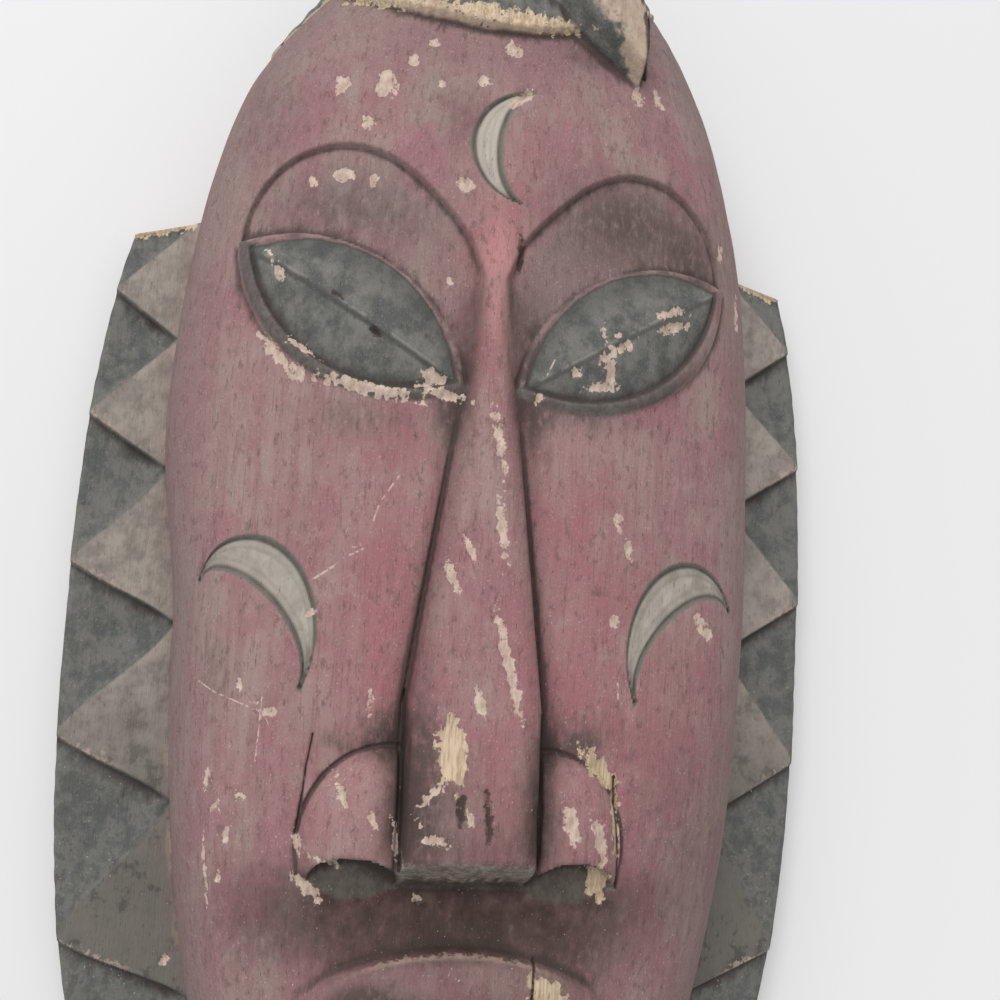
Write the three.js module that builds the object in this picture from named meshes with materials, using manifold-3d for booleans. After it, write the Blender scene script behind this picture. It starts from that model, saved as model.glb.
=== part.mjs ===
// A carved and painted wooden face mask, lying on its back with the face up.
// Millimetres. +X is to the right as one looks at the face, +Y runs from the chin to the crown,
// and +Z comes out of the face. The origin is on the back plane, in the middle of the outline.
// The whole mask is one piece of wood: head, nose, hair and the notched collar, hollow at the back.

import * as THREE from "three";
import { mergeVertices } from "three/addons/utils/BufferGeometryUtils.js";
import Module from "manifold-3d";

const wasm = await Module();
wasm.setup();

// Driving dimensions of the head
const HEAD_WIDTH = 171; // across the cheeks, inside the collar
const HEAD_LENGTH = 395; // chin to crown, without the hair
const FACE_DEPTH = 68; // back plane to the front of the cheeks
const SIDE_WALL = 14; // upright side of the head before it rounds over
const WALL = 13; // wood left at the rim of the hollow back
const HOLLOW_DEPTH = 45; // deepest point of the hollow

// Driving dimensions of what is carved on it
const NOSE_RISE = 13; // nose tip above the cheeks
const NOSE_WIDTH = 34; // flat of the nose at its tip
const NOSTRIL_SPAN = 83; // over both nostril wings
const EYE_LENGTH = 64; // corner to corner
const EYE_WIDTH = 31; // across the middle of the almond
const LID_WIDTH = 4; // rim of the lid round the eye
const LID_RISE = 1.6; // rim of the lid above the cheek
const SOCKET_DEPTH = 7; // deepest scoop between the brow and the eye
const MOUTH_WIDTH = 82;
const LIP_RISE = 6; // lips above the chin
const CRESCENT_DEPTH = 1.6;
const SLIT_WIDTH = 1.8; // line under the ridge of each eye
const SLIT_DEPTH = 1.1;

// Driving dimensions of the hair
const HAIR_RISE = 3; // hair proud of the forehead
const LOCK_WIDTH = 27; // pointed lock where it leaves the hair
const LOCK_RISE = 8; // ridge of the lock above the hair

// Driving dimensions of the collar
const COLLAR_REACH = 24; // collar beyond the widest part of the head
const COLLAR_UNDER_CHIN = 22;
const COLLAR_THICKNESS = 13;
const COLLAR_END_SLANT = 7; // fall of the cut top ends, from the head outwards
const NOTCH_DEPTH = 3; // chip-carved triangles, at their inner point
const NOTCH_LIP = 1.2; // the same at the upper corner on the outer edge
const NOTCH_RUNOUT = 0.3; // and at the lower corner, where the cut runs out
const TEETH = 8; // notches on each side, counted from the top
const TOOTH_GROWTH = 1.15; // each notch is this much longer than the one above
const LONGEST_TOOTH = 1.75; // the longest notch, in first notches
const FIRST_TOOTH_CUT = 0.45; // share of the first notch that the cut end takes away
const NOTCH_SHARE = 0.8; // notch in each tooth, the rest is the blunt tip between two

// Form of the outlines, as powers of superellipses
const CROWN_POWER = 2.3;
const CHIN_POWER = 2.6;
const BROW_SECTION_POWER = 2.4;
const CHEEK_SECTION_POWER = 2.8;
const COLLAR_POWER = 2.6;

// Places along the head, as shares of its length from the chin
const halfWidth = HEAD_WIDTH / 2;
const length = COLLAR_UNDER_CHIN + HEAD_LENGTH + HAIR_RISE;
const bottomY = -length / 2;
const chinY = bottomY + COLLAR_UNDER_CHIN;
const crownY = chinY + HEAD_LENGTH;
const up = (share) => chinY + share * HEAD_LENGTH;
const out = (share) => share * halfWidth;
const widestY = up(0.557);
const mouthY = up(0.2025);
const noseTipY = up(0.3165);
const noseTopY = up(0.691);
const eye = new THREE.Vector2(out(0.427), up(0.6614));
const eyeTilt = THREE.MathUtils.degToRad(31.4);
const hairlineY = up(0.8747);
const collarMiddleY = up(0.4506);
const collarTopY = up(0.7342);

const MIRROR = [-1, 1];
const CUT_CLEAR = 12; // how far a cutter stands out of the wood
const ROOT = 25; // how far an added form reaches into the wood

const superellipse = (share, power) =>
  Math.pow(Math.max(0, 1 - Math.pow(Math.min(1, Math.abs(share)), power)), 1 / power);

const mix = THREE.MathUtils.lerp;
const ease = THREE.MathUtils.smoothstep;

// Share of its full width and depth that the head has at a height, 0 at the chin and the crown
function headReach(y, grow = 0) {
  return y > widestY
    ? superellipse((y - widestY) / (crownY + grow - widestY), CROWN_POWER)
    : superellipse((widestY - y) / (widestY - chinY + grow), CHIN_POWER);
}

const headHalf = (y, grow = 0) => (halfWidth + grow) * headReach(y, grow);

const sectionPower = (y) =>
  mix(CHEEK_SECTION_POWER, BROW_SECTION_POWER, ease(y, up(0.33), up(0.71)));

// Front of the head: a rounded section on upright sides, higher by grow
function headHeight(x, y, grow = 0) {
  const half = Math.max(headHalf(y, grow), 1e-6);
  const rise = (FACE_DEPTH + grow - SIDE_WALL) * headReach(y, grow);
  return SIDE_WALL + rise * superellipse(x / half, sectionPower(y));
}

// Hollow of the back, which follows the head one wall further in
function hollowHeight(x, y) {
  const half = Math.max(headHalf(y, -WALL), 1e-6);
  return HOLLOW_DEPTH * headReach(y, -WALL) * superellipse(x / half, BROW_SECTION_POWER);
}

// Triangle geometry to a solid for joining and cutting
function solidOf(geometry) {
  const bare = geometry.clone();
  bare.deleteAttribute("normal");
  bare.deleteAttribute("uv");
  const merged = mergeVertices(bare, 1e-4);
  const faces = [];
  for (let i = 0; i < merged.index.count; i += 3) {
    const [a, b, c] = [0, 1, 2].map((k) => merged.index.getX(i + k));
    if (a !== b && b !== c && c !== a) faces.push(a, b, c);
  }
  const mesh = new wasm.Mesh({
    numProp: 3,
    vertProperties: new Float32Array(merged.attributes.position.array),
    triVerts: new Uint32Array(faces),
  });
  return new wasm.Manifold(mesh);
}

function geometryOf(solid) {
  const mesh = solid.getMesh();
  const geometry = new THREE.BufferGeometry();
  geometry.setAttribute("position", new THREE.BufferAttribute(mesh.vertProperties, 3));
  geometry.setIndex(new THREE.BufferAttribute(mesh.triVerts, 1));
  const faceted = geometry.toNonIndexed();
  faceted.computeVertexNormals();
  return faceted;
}

// Closed solid over a grid of places: spot(u, v) gives x, y and the heights low and high
function sheetSolid(columns, rows, spot) {
  const points = [];
  const faces = [];
  const spots = (rows + 1) * (columns + 1);
  const at = (i, j) => j * (columns + 1) + i;
  for (const side of ["high", "low"]) {
    for (let j = 0; j <= rows; j++) {
      for (let i = 0; i <= columns; i++) {
        const s = spot(i / columns, j / rows);
        points.push(s.x, s.y, s[side]);
      }
    }
  }
  const quad = (a, b, c, d) => faces.push(a, b, c, a, c, d);
  for (let j = 0; j < rows; j++) {
    for (let i = 0; i < columns; i++) {
      const [a, b, c, d] = [at(i, j), at(i + 1, j), at(i + 1, j + 1), at(i, j + 1)];
      quad(a, b, c, d);
      quad(a + spots, d + spots, c + spots, b + spots);
    }
  }
  const wall = (a, b) => quad(b, a, a + spots, b + spots);
  for (let i = 0; i < columns; i++) {
    wall(at(i, 0), at(i + 1, 0));
    wall(at(i + 1, rows), at(i, rows));
  }
  for (let j = 0; j < rows; j++) {
    wall(at(0, j + 1), at(0, j));
    wall(at(columns, j), at(columns, j + 1));
  }
  return facing(points, faces);
}

// Closed solid over a round patch: rim(angle) is its edge seen from the centre
function patchSolid(centre, spokes, rings, rim, low, high) {
  return sheetSolid(spokes, rings, (u, v) => {
    const angle = 2 * Math.PI * u;
    const reach = v * rim(angle);
    const x = centre.x + reach * Math.cos(angle);
    const y = centre.y + reach * Math.sin(angle);
    return { x, y, low: low(x, y, v), high: high(x, y, v) };
  });
}

// Turns the faces round where a mirrored grid has left them inside out
function facing(points, faces) {
  const geometry = new THREE.BufferGeometry();
  geometry.setAttribute("position", new THREE.Float32BufferAttribute(points, 3));
  geometry.setIndex(faces);
  const solid = solidOf(geometry);
  if (solid.volume() > 0) return solid;
  return solidOf(geometry.setIndex([...faces].reverse()));
}

function ellipsoid(centre, radii, around = 20, down = 12) {
  const ball = new THREE.SphereGeometry(1, around, down);
  return solidOf(ball.scale(radii.x, radii.y, radii.z).translate(centre.x, centre.y, centre.z));
}

// Distance from a point to the edge of an ellipse that is tilted and lies about another centre
function ellipseExit(from, angle, ellipse) {
  const c = Math.cos(-ellipse.tilt);
  const s = Math.sin(-ellipse.tilt);
  const turn = (x, y) => [(c * x - s * y) / ellipse.along, (s * x + c * y) / ellipse.across];
  const [px, py] = turn(from.x - ellipse.x, from.y - ellipse.y);
  const [dx, dy] = turn(Math.cos(angle), Math.sin(angle));
  const a = dx * dx + dy * dy;
  const b = px * dx + py * dy;
  const root = b * b - a * (px * px + py * py - 1);
  return root > 0 ? (Math.sqrt(root) - b) / a : 0;
}

// Head
const HEAD_COLUMNS = 24;
const HEAD_ROWS = 30;

// Even steps along a superellipse, from one side to the other
const roundStep = (u, power) => {
  const c = -Math.cos(Math.PI * u);
  return Math.sign(c) * Math.pow(Math.abs(c), 2 / power);
};

// Rows that close up towards both ends
const endStep = (v) => (1 - Math.cos(Math.PI * v)) / 2;

function domeSolid(grow, fromY, columns, rows, height, floor) {
  return sheetSolid(columns, rows, (u, v) => {
    const y = mix(fromY, crownY + grow, endStep(v));
    const x = headHalf(y, grow) * roundStep(u, sectionPower(y));
    return { x, y, low: floor, high: height(x, y) };
  });
}

function head() {
  return domeSolid(0, chinY, HEAD_COLUMNS, HEAD_ROWS, (x, y) => headHeight(x, y), 0);
}

function hollow() {
  return sheetSolid(18, 18, (u, v) => {
    const y = mix(chinY + WALL, crownY - WALL, endStep(v));
    const x = headHalf(y, -WALL) * roundStep(u, BROW_SECTION_POWER);
    return { x, y, low: -CUT_CLEAR, high: hollowHeight(x, y) };
  });
}

// Eye sockets: a heart-like half under each brow arch, as waves round a circle
const socketCentre = new THREE.Vector2(out(0.374), up(0.696));
const SOCKET_MEAN = out(0.339); // mean radius
const SOCKET_WAVES = [
  { cos: 0.135, sin: 0.091 }, // pushes it up and outwards
  { cos: 0.068, sin: 0.091 }, // stretches it from nose to temple
  { cos: -0.028, sin: -0.026 }, // and draws a corner out at the nose
];
const BROW_STEP = 1.3; // crisp edge of the brow arch

function socketRim(angle) {
  const wave = (sum, w, i) => sum + w.cos * Math.cos((i + 1) * angle) + w.sin * Math.sin((i + 1) * angle);
  return SOCKET_MEAN * SOCKET_WAVES.reduce(wave, 1);
}

const socketDrop = (v) => BROW_STEP + (SOCKET_DEPTH - BROW_STEP) * (1 - v * v);

// Builds a form on the right half of the face and its mirror image on the left
function bothSides(make) {
  return MIRROR.map((side) => make(side)).reduce((a, b) => a.add(b));
}

function sockets() {
  return bothSides((side) => {
    const centre = new THREE.Vector2(side * socketCentre.x, socketCentre.y);
    const rim = (angle) => socketRim(side > 0 ? angle : Math.PI - angle);
    const floor = (x, y, v) => headHeight(x, y) - socketDrop(v);
    return patchSolid(centre, 30, 4, rim, floor, () => FACE_DEPTH + CUT_CLEAR);
  });
}

// Closed almond eyes: a rim of lid, and inside it a flat roof with its ridge from corner to corner
const EYE_RIDGE = 2.4; // ridge of the eye above the cheek
const EYE_EDGE_SINK = 0.2; // edge of the eye below the cheek

// Place on the eye: along from corner to corner and across it, each from -1 to 1
function onEye(side, along, across, grow = 0) {
  const s = along * (EYE_LENGTH / 2 + grow);
  const t = across * (EYE_WIDTH / 2 + grow) * (1 - along * along);
  const x = eye.x + s * Math.cos(eyeTilt) - t * Math.sin(eyeTilt);
  const y = eye.y + s * Math.sin(eyeTilt) + t * Math.cos(eyeTilt);
  return { x: side * x, y };
}

// The head without its fast fall at the side, so that the eye keeps a level outer corner
const eyeBase = (x, y) => headHeight(0.94 * x, y);

function eyeHeight(x, y, along, across) {
  const roof = (1 - Math.abs(across)) * (1 - Math.pow(along, 4));
  return eyeBase(x, y) - EYE_EDGE_SINK + (EYE_RIDGE + EYE_EDGE_SINK) * roof;
}

function lids() {
  return bothSides((side) =>
    sheetSolid(14, 4, (u, v) => {
      const along = -Math.cos(Math.PI * u);
      const { x, y } = onEye(side, along, 2 * v - 1, LID_WIDTH);
      const high = eyeBase(x, y) + LID_RISE * (1 - v);
      return { x, y, low: high - ROOT, high };
    }),
  );
}

function eyeRecesses() {
  return bothSides((side) =>
    sheetSolid(12, 2, (u, v) => {
      const along = -Math.cos(Math.PI * u);
      const { x, y } = onEye(side, along, 2 * v - 1);
      return { x, y, low: eyeBase(x, y) - EYE_EDGE_SINK - 0.6, high: FACE_DEPTH + CUT_CLEAR };
    }),
  );
}

function eyeRoofs() {
  return bothSides((side) =>
    sheetSolid(12, 4, (u, v) => {
      const along = -0.97 * Math.cos(Math.PI * u);
      const across = 0.92 * (2 * v - 1);
      const { x, y } = onEye(side, along, across);
      const high = eyeHeight(x, y, along, across);
      return { x, y, low: high - ROOT, high };
    }),
  );
}

function eyeSlits() {
  return bothSides((side) =>
    sheetSolid(8, 1, (u, v) => {
      const along = 1.7 * u - 0.85;
      const { x, y } = onEye(side, along, -0.1);
      const shift = (v - 0.5) * SLIT_WIDTH;
      const place = { x: x - side * shift * Math.sin(eyeTilt), y: y + shift * Math.cos(eyeTilt) };
      const low = eyeHeight(x, y, along, 0.1) - SLIT_DEPTH;
      return { ...place, low, high: low + CUT_CLEAR };
    }),
  );
}

// Nose: a long wedge that widens from the brow to the tip
const noseLength = noseTopY - noseTipY;
const NOSE_BRIDGE_HALF = 3.2;
const NOSE_EDGE_DROP = 1.6; // rounding of the nose towards its upright sides
const UNDERSIDE_LEAN = 0.45; // how far the underside leans back for each millimetre down

function noseHalf(y) {
  const share = (noseTopY - y) / noseLength;
  return mix(NOSE_BRIDGE_HALF, NOSE_WIDTH / 2, Math.min(1, share / 0.75));
}

function noseRidge(y) {
  const share = (noseTopY - y) / noseLength;
  return headHeight(0, noseTopY) + (FACE_DEPTH + NOSE_RISE - headHeight(0, noseTopY)) * share;
}

function nose() {
  return sheetSolid(4, 6, (u, v) => {
    const y = mix(noseTipY - 8, noseTopY, v);
    const across = 2 * u - 1;
    const high = noseRidge(y) - NOSE_EDGE_DROP * Math.pow(Math.abs(across), 3);
    return { x: across * noseHalf(y), y, low: high - ROOT, high };
  });
}

// Nostril wings: rounded lobes beside the tip
const wing = {
  centre: new THREE.Vector3(out(0.234), noseTipY + 1, FACE_DEPTH - 16),
  radii: new THREE.Vector3(NOSTRIL_SPAN / 2 - out(0.234), 25, 22),
};

function wings() {
  return bothSides((side) => {
    const centre = wing.centre.clone();
    centre.x *= side;
    return ellipsoid(centre, wing.radii, 18, 12);
  });
}

// Wood below the leaning underside of nose and wings
function undersideCutter() {
  const top = FACE_DEPTH + NOSE_RISE + CUT_CLEAR;
  return sheetSolid(1, 1, (u, v) => {
    const y = mix(noseTipY - 60, noseTipY, v);
    return { x: mix(-NOSTRIL_SPAN, NOSTRIL_SPAN, u), y, low: FACE_DEPTH - 40, high: top };
  });
}

function leaningUnderside() {
  const cutter = undersideCutter();
  const pivotZ = FACE_DEPTH + NOSE_RISE;
  const lean = new THREE.Matrix4().set(
    1, 0, 0, 0,
    0, 1, UNDERSIDE_LEAN, -UNDERSIDE_LEAN * pivotZ,
    0, 0, 1, 0,
    0, 0, 0, 1,
  );
  return cutter.transform([...lean.elements]);
}

// Arched hollows of the nostrils
function nostrils() {
  return bothSides((side) => {
    const centre = new THREE.Vector3(side * out(0.32), noseTipY - 7, FACE_DEPTH - 9);
    return ellipsoid(centre, new THREE.Vector3(11, 6.5, 10), 12, 8);
  });
}

// Hollow between nose and lips
const PHILTRUM_DEPTH = 4;

function philtrum() {
  const centre = new THREE.Vector2(0, noseTipY - 13);
  const edge = { x: centre.x, y: centre.y, along: out(0.5), across: 14.5, tilt: 0 };
  const rim = (angle) => ellipseExit(centre, angle, edge);
  const floor = (x, y, v) => headHeight(x, y) + 0.6 - (PHILTRUM_DEPTH + 0.6) * (1 - v * v);
  return patchSolid(centre, 22, 4, rim, floor, () => FACE_DEPTH + CUT_CLEAR);
}

// Lips: one oval with a sunk line along its middle
const lipHalfHeight = 0.053 * HEAD_LENGTH;

function lipRise(along, across) {
  const body = 0.45 + 0.55 * Math.sqrt(Math.max(0, 1 - across * across));
  const parting = 0.75 * Math.exp(-Math.pow(across / 0.13, 2));
  const corner = Math.pow(Math.abs(along), 6); // the corners run out into the cheeks
  return LIP_RISE * ((body - parting) * (1 - corner) - 0.1 * corner);
}

function lips() {
  return sheetSolid(16, 12, (u, v) => {
    const along = -Math.cos(Math.PI * u);
    const across = 2 * v - 1;
    const x = (along * MOUTH_WIDTH) / 2;
    const y = mouthY + across * lipHalfHeight * Math.sqrt(1 - along * along);
    const high = headHeight(x, y) + lipRise(along, across);
    return { x, y, low: high - ROOT, high };
  });
}

// Crescent between two arches that share their tips, sunk into the face
function crescent(side, moon) {
  const along = new THREE.Vector2(Math.cos(moon.turn), Math.sin(moon.turn));
  return sheetSolid(14, 1, (u, v) => {
    const angle = Math.PI * u;
    const rise = mix(moon.outer, moon.inner, v) * Math.sin(angle);
    const run = moon.half * Math.cos(angle) + moon.skew * rise;
    const x = moon.x + run * along.x - rise * along.y;
    const y = moon.y + run * along.y + rise * along.x;
    const low = headHeight(x, y) - CRESCENT_DEPTH;
    return { x: side * x, y, low, high: low + CUT_CLEAR };
  });
}

// Moons on both cheeks, points down and outwards, and one on the forehead with its points right
const cheekMoon = {
  x: out(0.684), y: up(0.4477), turn: THREE.MathUtils.degToRad(40.4),
  half: 20, outer: 22.3, inner: 11.3, skew: 0.28,
};
const foreheadMoon = {
  x: out(0.106), y: up(0.7858), turn: THREE.MathUtils.degToRad(85),
  half: 16.6, outer: 16.8, inner: 9.2, skew: 0,
};

function crescents() {
  return bothSides((side) => crescent(side, cheekMoon)).add(crescent(1, foreheadMoon));
}

// Hair: a cap a little larger than the head, from the arched hairline to the crown
const hairline = (x) => hairlineY + 0.0045 * x * x;

function hairCap() {
  const cap = domeSolid(
    HAIR_RISE, up(0.8), HEAD_COLUMNS, 14, (x, y) => headHeight(x, y, HAIR_RISE), 0,
  );
  const behind = sheetSolid(10, 1, (u, v) => {
    const x = mix(-1.2 * halfWidth, 1.2 * halfWidth, u);
    return { x, y: mix(hairline(x), crownY + CUT_CLEAR, v), low: -CUT_CLEAR, high: 2 * FACE_DEPTH };
  });
  return cap.intersect(behind);
}

// Lock: rises out of the hair and runs down to a point on the right of the forehead
const lockPath = new THREE.QuadraticBezierCurve(
  new THREE.Vector2(out(0.08), up(0.975)),
  new THREE.Vector2(out(0.27), up(0.925)),
  new THREE.Vector2(out(0.453), up(0.8392)),
);

function lock() {
  return sheetSolid(4, 12, (u, v) => {
    const middle = lockPath.getPoint(v);
    const along = lockPath.getTangent(v);
    const across = 2 * u - 1;
    const half = (LOCK_WIDTH / 2) * (1 - Math.pow(v, 4));
    const x = middle.x - along.y * across * half;
    const y = middle.y + along.x * across * half;
    const swell = ease(v, 0, 0.5) * mix(1, 0.55, ease(v, 0.6, 1));
    const high = headHeight(x, y, HAIR_RISE) + LOCK_RISE * swell * (1 - 0.5 * across * across);
    return { x, y, low: Math.max(1, high - ROOT), high };
  });
}

// Collar: a flat border round the cheeks and the chin, cut off beside the brow
const collarHalf = halfWidth + COLLAR_REACH;
const collarDrop = collarMiddleY - bottomY;
const COLLAR_STEPS = 64;

const collarEdge = (y) => collarHalf * superellipse((y - collarMiddleY) / collarDrop, COLLAR_POWER);

// Outer edge of the right side, from the cut end down to the bottom
function collarEdgeCurve() {
  const places = [];
  const last = 200;
  for (let i = 0; i <= last; i++) {
    const y = mix(collarTopY, bottomY, Math.sin((Math.PI / 2) * (i / last)));
    places.push(new THREE.Vector3(collarEdge(y), y, 0));
  }
  const curve = new THREE.CatmullRomCurve3(places);
  curve.arcLengthDivisions = 1000;
  return curve;
}

const edge = collarEdgeCurve();
const edgeLength = edge.getLength();
const edgePoint = (distance) => edge.getPointAt(THREE.MathUtils.clamp(distance / edgeLength, 0, 1));

function collarPlate() {
  const right = [];
  for (let i = 0; i <= COLLAR_STEPS / 2; i++) {
    const p = edgePoint((edgeLength * i) / (COLLAR_STEPS / 2));
    right.push(new THREE.Vector2(p.x, p.y));
  }
  const left = right.slice(0, -1).reverse().map((p) => new THREE.Vector2(-p.x, p.y));
  const innerX = 0.7 * halfWidth;
  const slope = COLLAR_END_SLANT / COLLAR_REACH;
  const innerY = collarTopY + slope * (right[0].x - innerX);
  const ends = [new THREE.Vector2(-innerX, innerY), new THREE.Vector2(innerX, innerY)];
  const shape = new THREE.Shape([...right, ...left, ...ends]);
  const plate = new THREE.ExtrudeGeometry(shape, {
    depth: COLLAR_THICKNESS,
    bevelEnabled: false,
    steps: 1,
  });
  return solidOf(plate);
}

// Where the notches start along the edge: each is longer than the one above, up to a limit
function toothStarts() {
  const pitches = Array.from({ length: TEETH }, (_, i) =>
    Math.min(Math.pow(TOOTH_GROWTH, i), LONGEST_TOOTH),
  );
  const total = pitches.reduce((a, b) => a + b, 0) - FIRST_TOOTH_CUT;
  const unit = edgeLength / total;
  let start = -FIRST_TOOTH_CUT * unit;
  return pitches.map((pitch) => {
    const tooth = { start, pitch: pitch * unit };
    start += pitch * unit;
    return tooth;
  });
}

// Point of a notch: straight in from its base until it meets the head
function notchPoint(base) {
  const heart = new THREE.Vector3(0, mix(base.y, widestY, 0.08), 0);
  const step = heart.sub(base).normalize();
  const point = base.clone();
  while (point.x > headHalf(point.y) + 1 && point.distanceTo(base) < 4 * COLLAR_REACH) {
    point.add(step);
  }
  return point;
}

// One chip-carved triangle: base on the outer edge, point against the head
function notch(side, tooth) {
  const wide = NOTCH_SHARE * tooth.pitch;
  const upper = edgePoint(tooth.start);
  const lower = edgePoint(tooth.start + wide);
  const point = notchPoint(edgePoint(tooth.start + 0.42 * wide));
  return sheetSolid(1, 1, (u, v) => {
    const corner = u < 0.5 ? upper : lower;
    const beyond = corner.clone().sub(point).setLength(1);
    const place = v < 0.5 ? corner.clone().add(beyond) : point;
    const edgeDepth = u < 0.5 ? NOTCH_LIP : NOTCH_RUNOUT;
    const low = COLLAR_THICKNESS - (v < 0.5 ? edgeDepth : NOTCH_DEPTH);
    return { x: side * place.x, y: place.y, low, high: COLLAR_THICKNESS + CUT_CLEAR };
  });
}

function collar() {
  const notches = MIRROR.flatMap((side) => toothStarts().map((tooth) => notch(side, tooth)));
  return notches.reduce((plate, cut) => plate.subtract(cut), collarPlate());
}

// The whole mask, carved from one block
function mask() {
  const noseGroup = nose().add(wings()).subtract(leaningUnderside()).subtract(nostrils());
  const eyes = lids().subtract(eyeRecesses()).add(eyeRoofs()).subtract(eyeSlits());
  const face = head()
    .subtract(sockets())
    .add(eyes)
    .subtract(philtrum())
    .add(lips())
    .add(noseGroup)
    .subtract(crescents());
  return face.add(hairCap()).add(lock()).add(collar()).subtract(hollow());
}

const paintedWood = new THREE.MeshStandardMaterial({
  name: "painted_wood",
  color: new THREE.Color(0.42, 0.24, 0.25),
  roughness: 0.75,
  metalness: 0,
});

const maskMesh = new THREE.Mesh(geometryOf(mask()), paintedWood);
maskMesh.name = "mask";

const model = new THREE.Group();
model.name = "carved_mask";
model.add(maskMesh);

export default model;
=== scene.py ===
"""A carved and painted wooden mask on its back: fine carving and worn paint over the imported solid.

Lengths are in millimetres until the mesh is made. The carving is laid out from the lower edge of
the nose: x is to the right of the face, y is towards the crown, and z is out of the face.
"""

import math

import bpy
import numpy as np
from mathutils import Matrix, Vector


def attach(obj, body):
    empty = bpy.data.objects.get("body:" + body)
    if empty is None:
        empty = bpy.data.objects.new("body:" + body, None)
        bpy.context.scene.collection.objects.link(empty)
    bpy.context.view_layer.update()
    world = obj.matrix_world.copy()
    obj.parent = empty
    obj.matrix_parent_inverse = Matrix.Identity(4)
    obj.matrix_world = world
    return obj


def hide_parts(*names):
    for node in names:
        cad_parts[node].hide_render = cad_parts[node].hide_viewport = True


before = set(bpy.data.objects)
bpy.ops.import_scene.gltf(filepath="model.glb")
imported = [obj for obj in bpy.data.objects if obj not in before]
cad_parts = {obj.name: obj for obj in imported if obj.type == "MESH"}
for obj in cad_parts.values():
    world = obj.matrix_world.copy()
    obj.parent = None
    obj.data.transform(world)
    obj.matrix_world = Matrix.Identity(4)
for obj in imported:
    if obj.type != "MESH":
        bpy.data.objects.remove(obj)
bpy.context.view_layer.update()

NOSE_TIP_Y = -62.98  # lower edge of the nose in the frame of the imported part
STEP = 0.5  # spacing of the carving's samples
RAMP = 0.9 * STEP  # half the width of a carved step
FACES = 192000  # triangles that the carving is thinned out to

# Head
HALF = 85.5
CHIN, WIDEST, CROWN = -125.02, 95.0, 269.98
FACE_DEPTH, SIDE = 68.0, 14.0
CROWN_POWER, CHIN_POWER = 2.3, 2.6
WALL, HOLLOW_DEPTH, HOLLOW_POWER = 13.0, 45.0, 2.4
HAIR_RISE = 3.0

# Collar
COLLAR_HALF, COLLAR_MIDDLE, COLLAR_TOP, BOTTOM = 109.5, 52.97, 164.99, -147.02
COLLAR_POWER, COLLAR_THICK, END_SLANT = 2.6, 13.0, 7.0 / 24.0
NOTCHES, GROWTH, LONGEST, FIRST_CUT = 8, 1.15, 1.75, 0.45
NOTCH_SHARE, AIM_SHARE = 0.95, 0.8

# Carving
EYE = np.array([36.51, 136.23])
EYE_TILT = math.radians(31.4)
EYE_LONG, EYE_WIDE, LID, UPPER_LID = 32.0, 15.5, 4.0, 1.1
NOSE_TOP, NOSE_HALF_TOP, NOSE_HALF = 147.9, 3.2, 17.0
NOSE_RISE = 13.0
UNDERSIDE_LEAN = 0.45
NOSTRIL_X, NOSTRIL_Y, NOSTRIL_WIDE, NOSTRIL_TALL = 27.4, -7.0, 11.0, 6.3
SOCKET_X, SOCKET_Y, SOCKET_REACH = 31.98, 149.9, 28.98
MOUTH_Y, MOUTH_HALF, MOUTH_TALL = -45.03, 41.0, 20.9
LOCK_HALF, LOCK_LENGTH = 13.5, 62.0

# Unevenness of the left side: the share taken off the crown, and how far the low cheek is set in
CROWN_LEAN, CHEEK_INSET = 0.11, 6.0

# Seeds of the ragged edges of worn patches
FLAKE_SEED, BARE_SEED, PIT_SEED = 51, 55, 58


def clamp(value, low=0.0, high=1.0):
    return np.minimum(np.maximum(value, low), high)


def ease(low, high, value):
    t = clamp((value - low) / (high - low))
    return t * t * (3 - 2 * t)


def inside(edge, ramp=RAMP):
    """From 0 outside an edge to 1 inside it."""
    return ease(ramp, -ramp, edge)


def line(distance, half):
    """1 on a line and 0 away from it."""
    return np.exp(-((distance / max(half, 0.8 * STEP)) ** 2))


def mix(a, b, share):
    return a + (b - a) * share


def superellipse(share, power):
    return np.maximum(0.0, 1 - clamp(np.abs(share)) ** power) ** (1 / power)


def waves(x, y, seed, across, along, count=7):
    """Smooth noise from -1 to 1 with bumps about that long across and along the grain."""
    rng = np.random.default_rng(seed)
    total = np.zeros(np.broadcast(x, y).shape)
    for _ in range(count):
        turn, reach = rng.uniform(0, 2 * np.pi, 2)
        size = rng.uniform(0.7, 1.4)
        total += np.sin(
            2 * np.pi * size * (x * np.cos(turn) / across + y * np.sin(turn) / along) + reach
        )
    return total / math.sqrt(2 * count) / 1.5


def blob(x, y, mid_x, mid_y, wide, tall):
    """1 in the middle of a soft spot and falling off all round it."""
    return np.exp(-(((x - mid_x) / wide) ** 2) - ((y - mid_y) / tall) ** 2)


def softer_least(a, b, reach):
    """The smaller of two heights, rounded where they cross."""
    share = clamp(0.5 + 0.5 * (b - a) / reach)
    return mix(b, a, share) - reach * share * (1 - share)


# The head's own form


def head_reach(y, grow=0.0):
    top = superellipse(np.maximum(0, y - WIDEST) / (CROWN + grow - WIDEST), CROWN_POWER)
    low = superellipse(np.maximum(0, WIDEST - y) / (WIDEST - CHIN + grow), CHIN_POWER)
    return np.where(y > WIDEST, top, low)


def head_half(y, grow=0.0):
    return (HALF + grow) * head_reach(y, grow)


def section_power(y):
    return mix(2.8, 2.4, ease(5.3, 155.4, y))


def head_height(x, y, grow=0.0):
    half = np.maximum(head_half(y, grow), 1e-6)
    rise = (FACE_DEPTH + grow - SIDE) * head_reach(y, grow)
    return SIDE + rise * superellipse(x / half, section_power(y))


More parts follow.
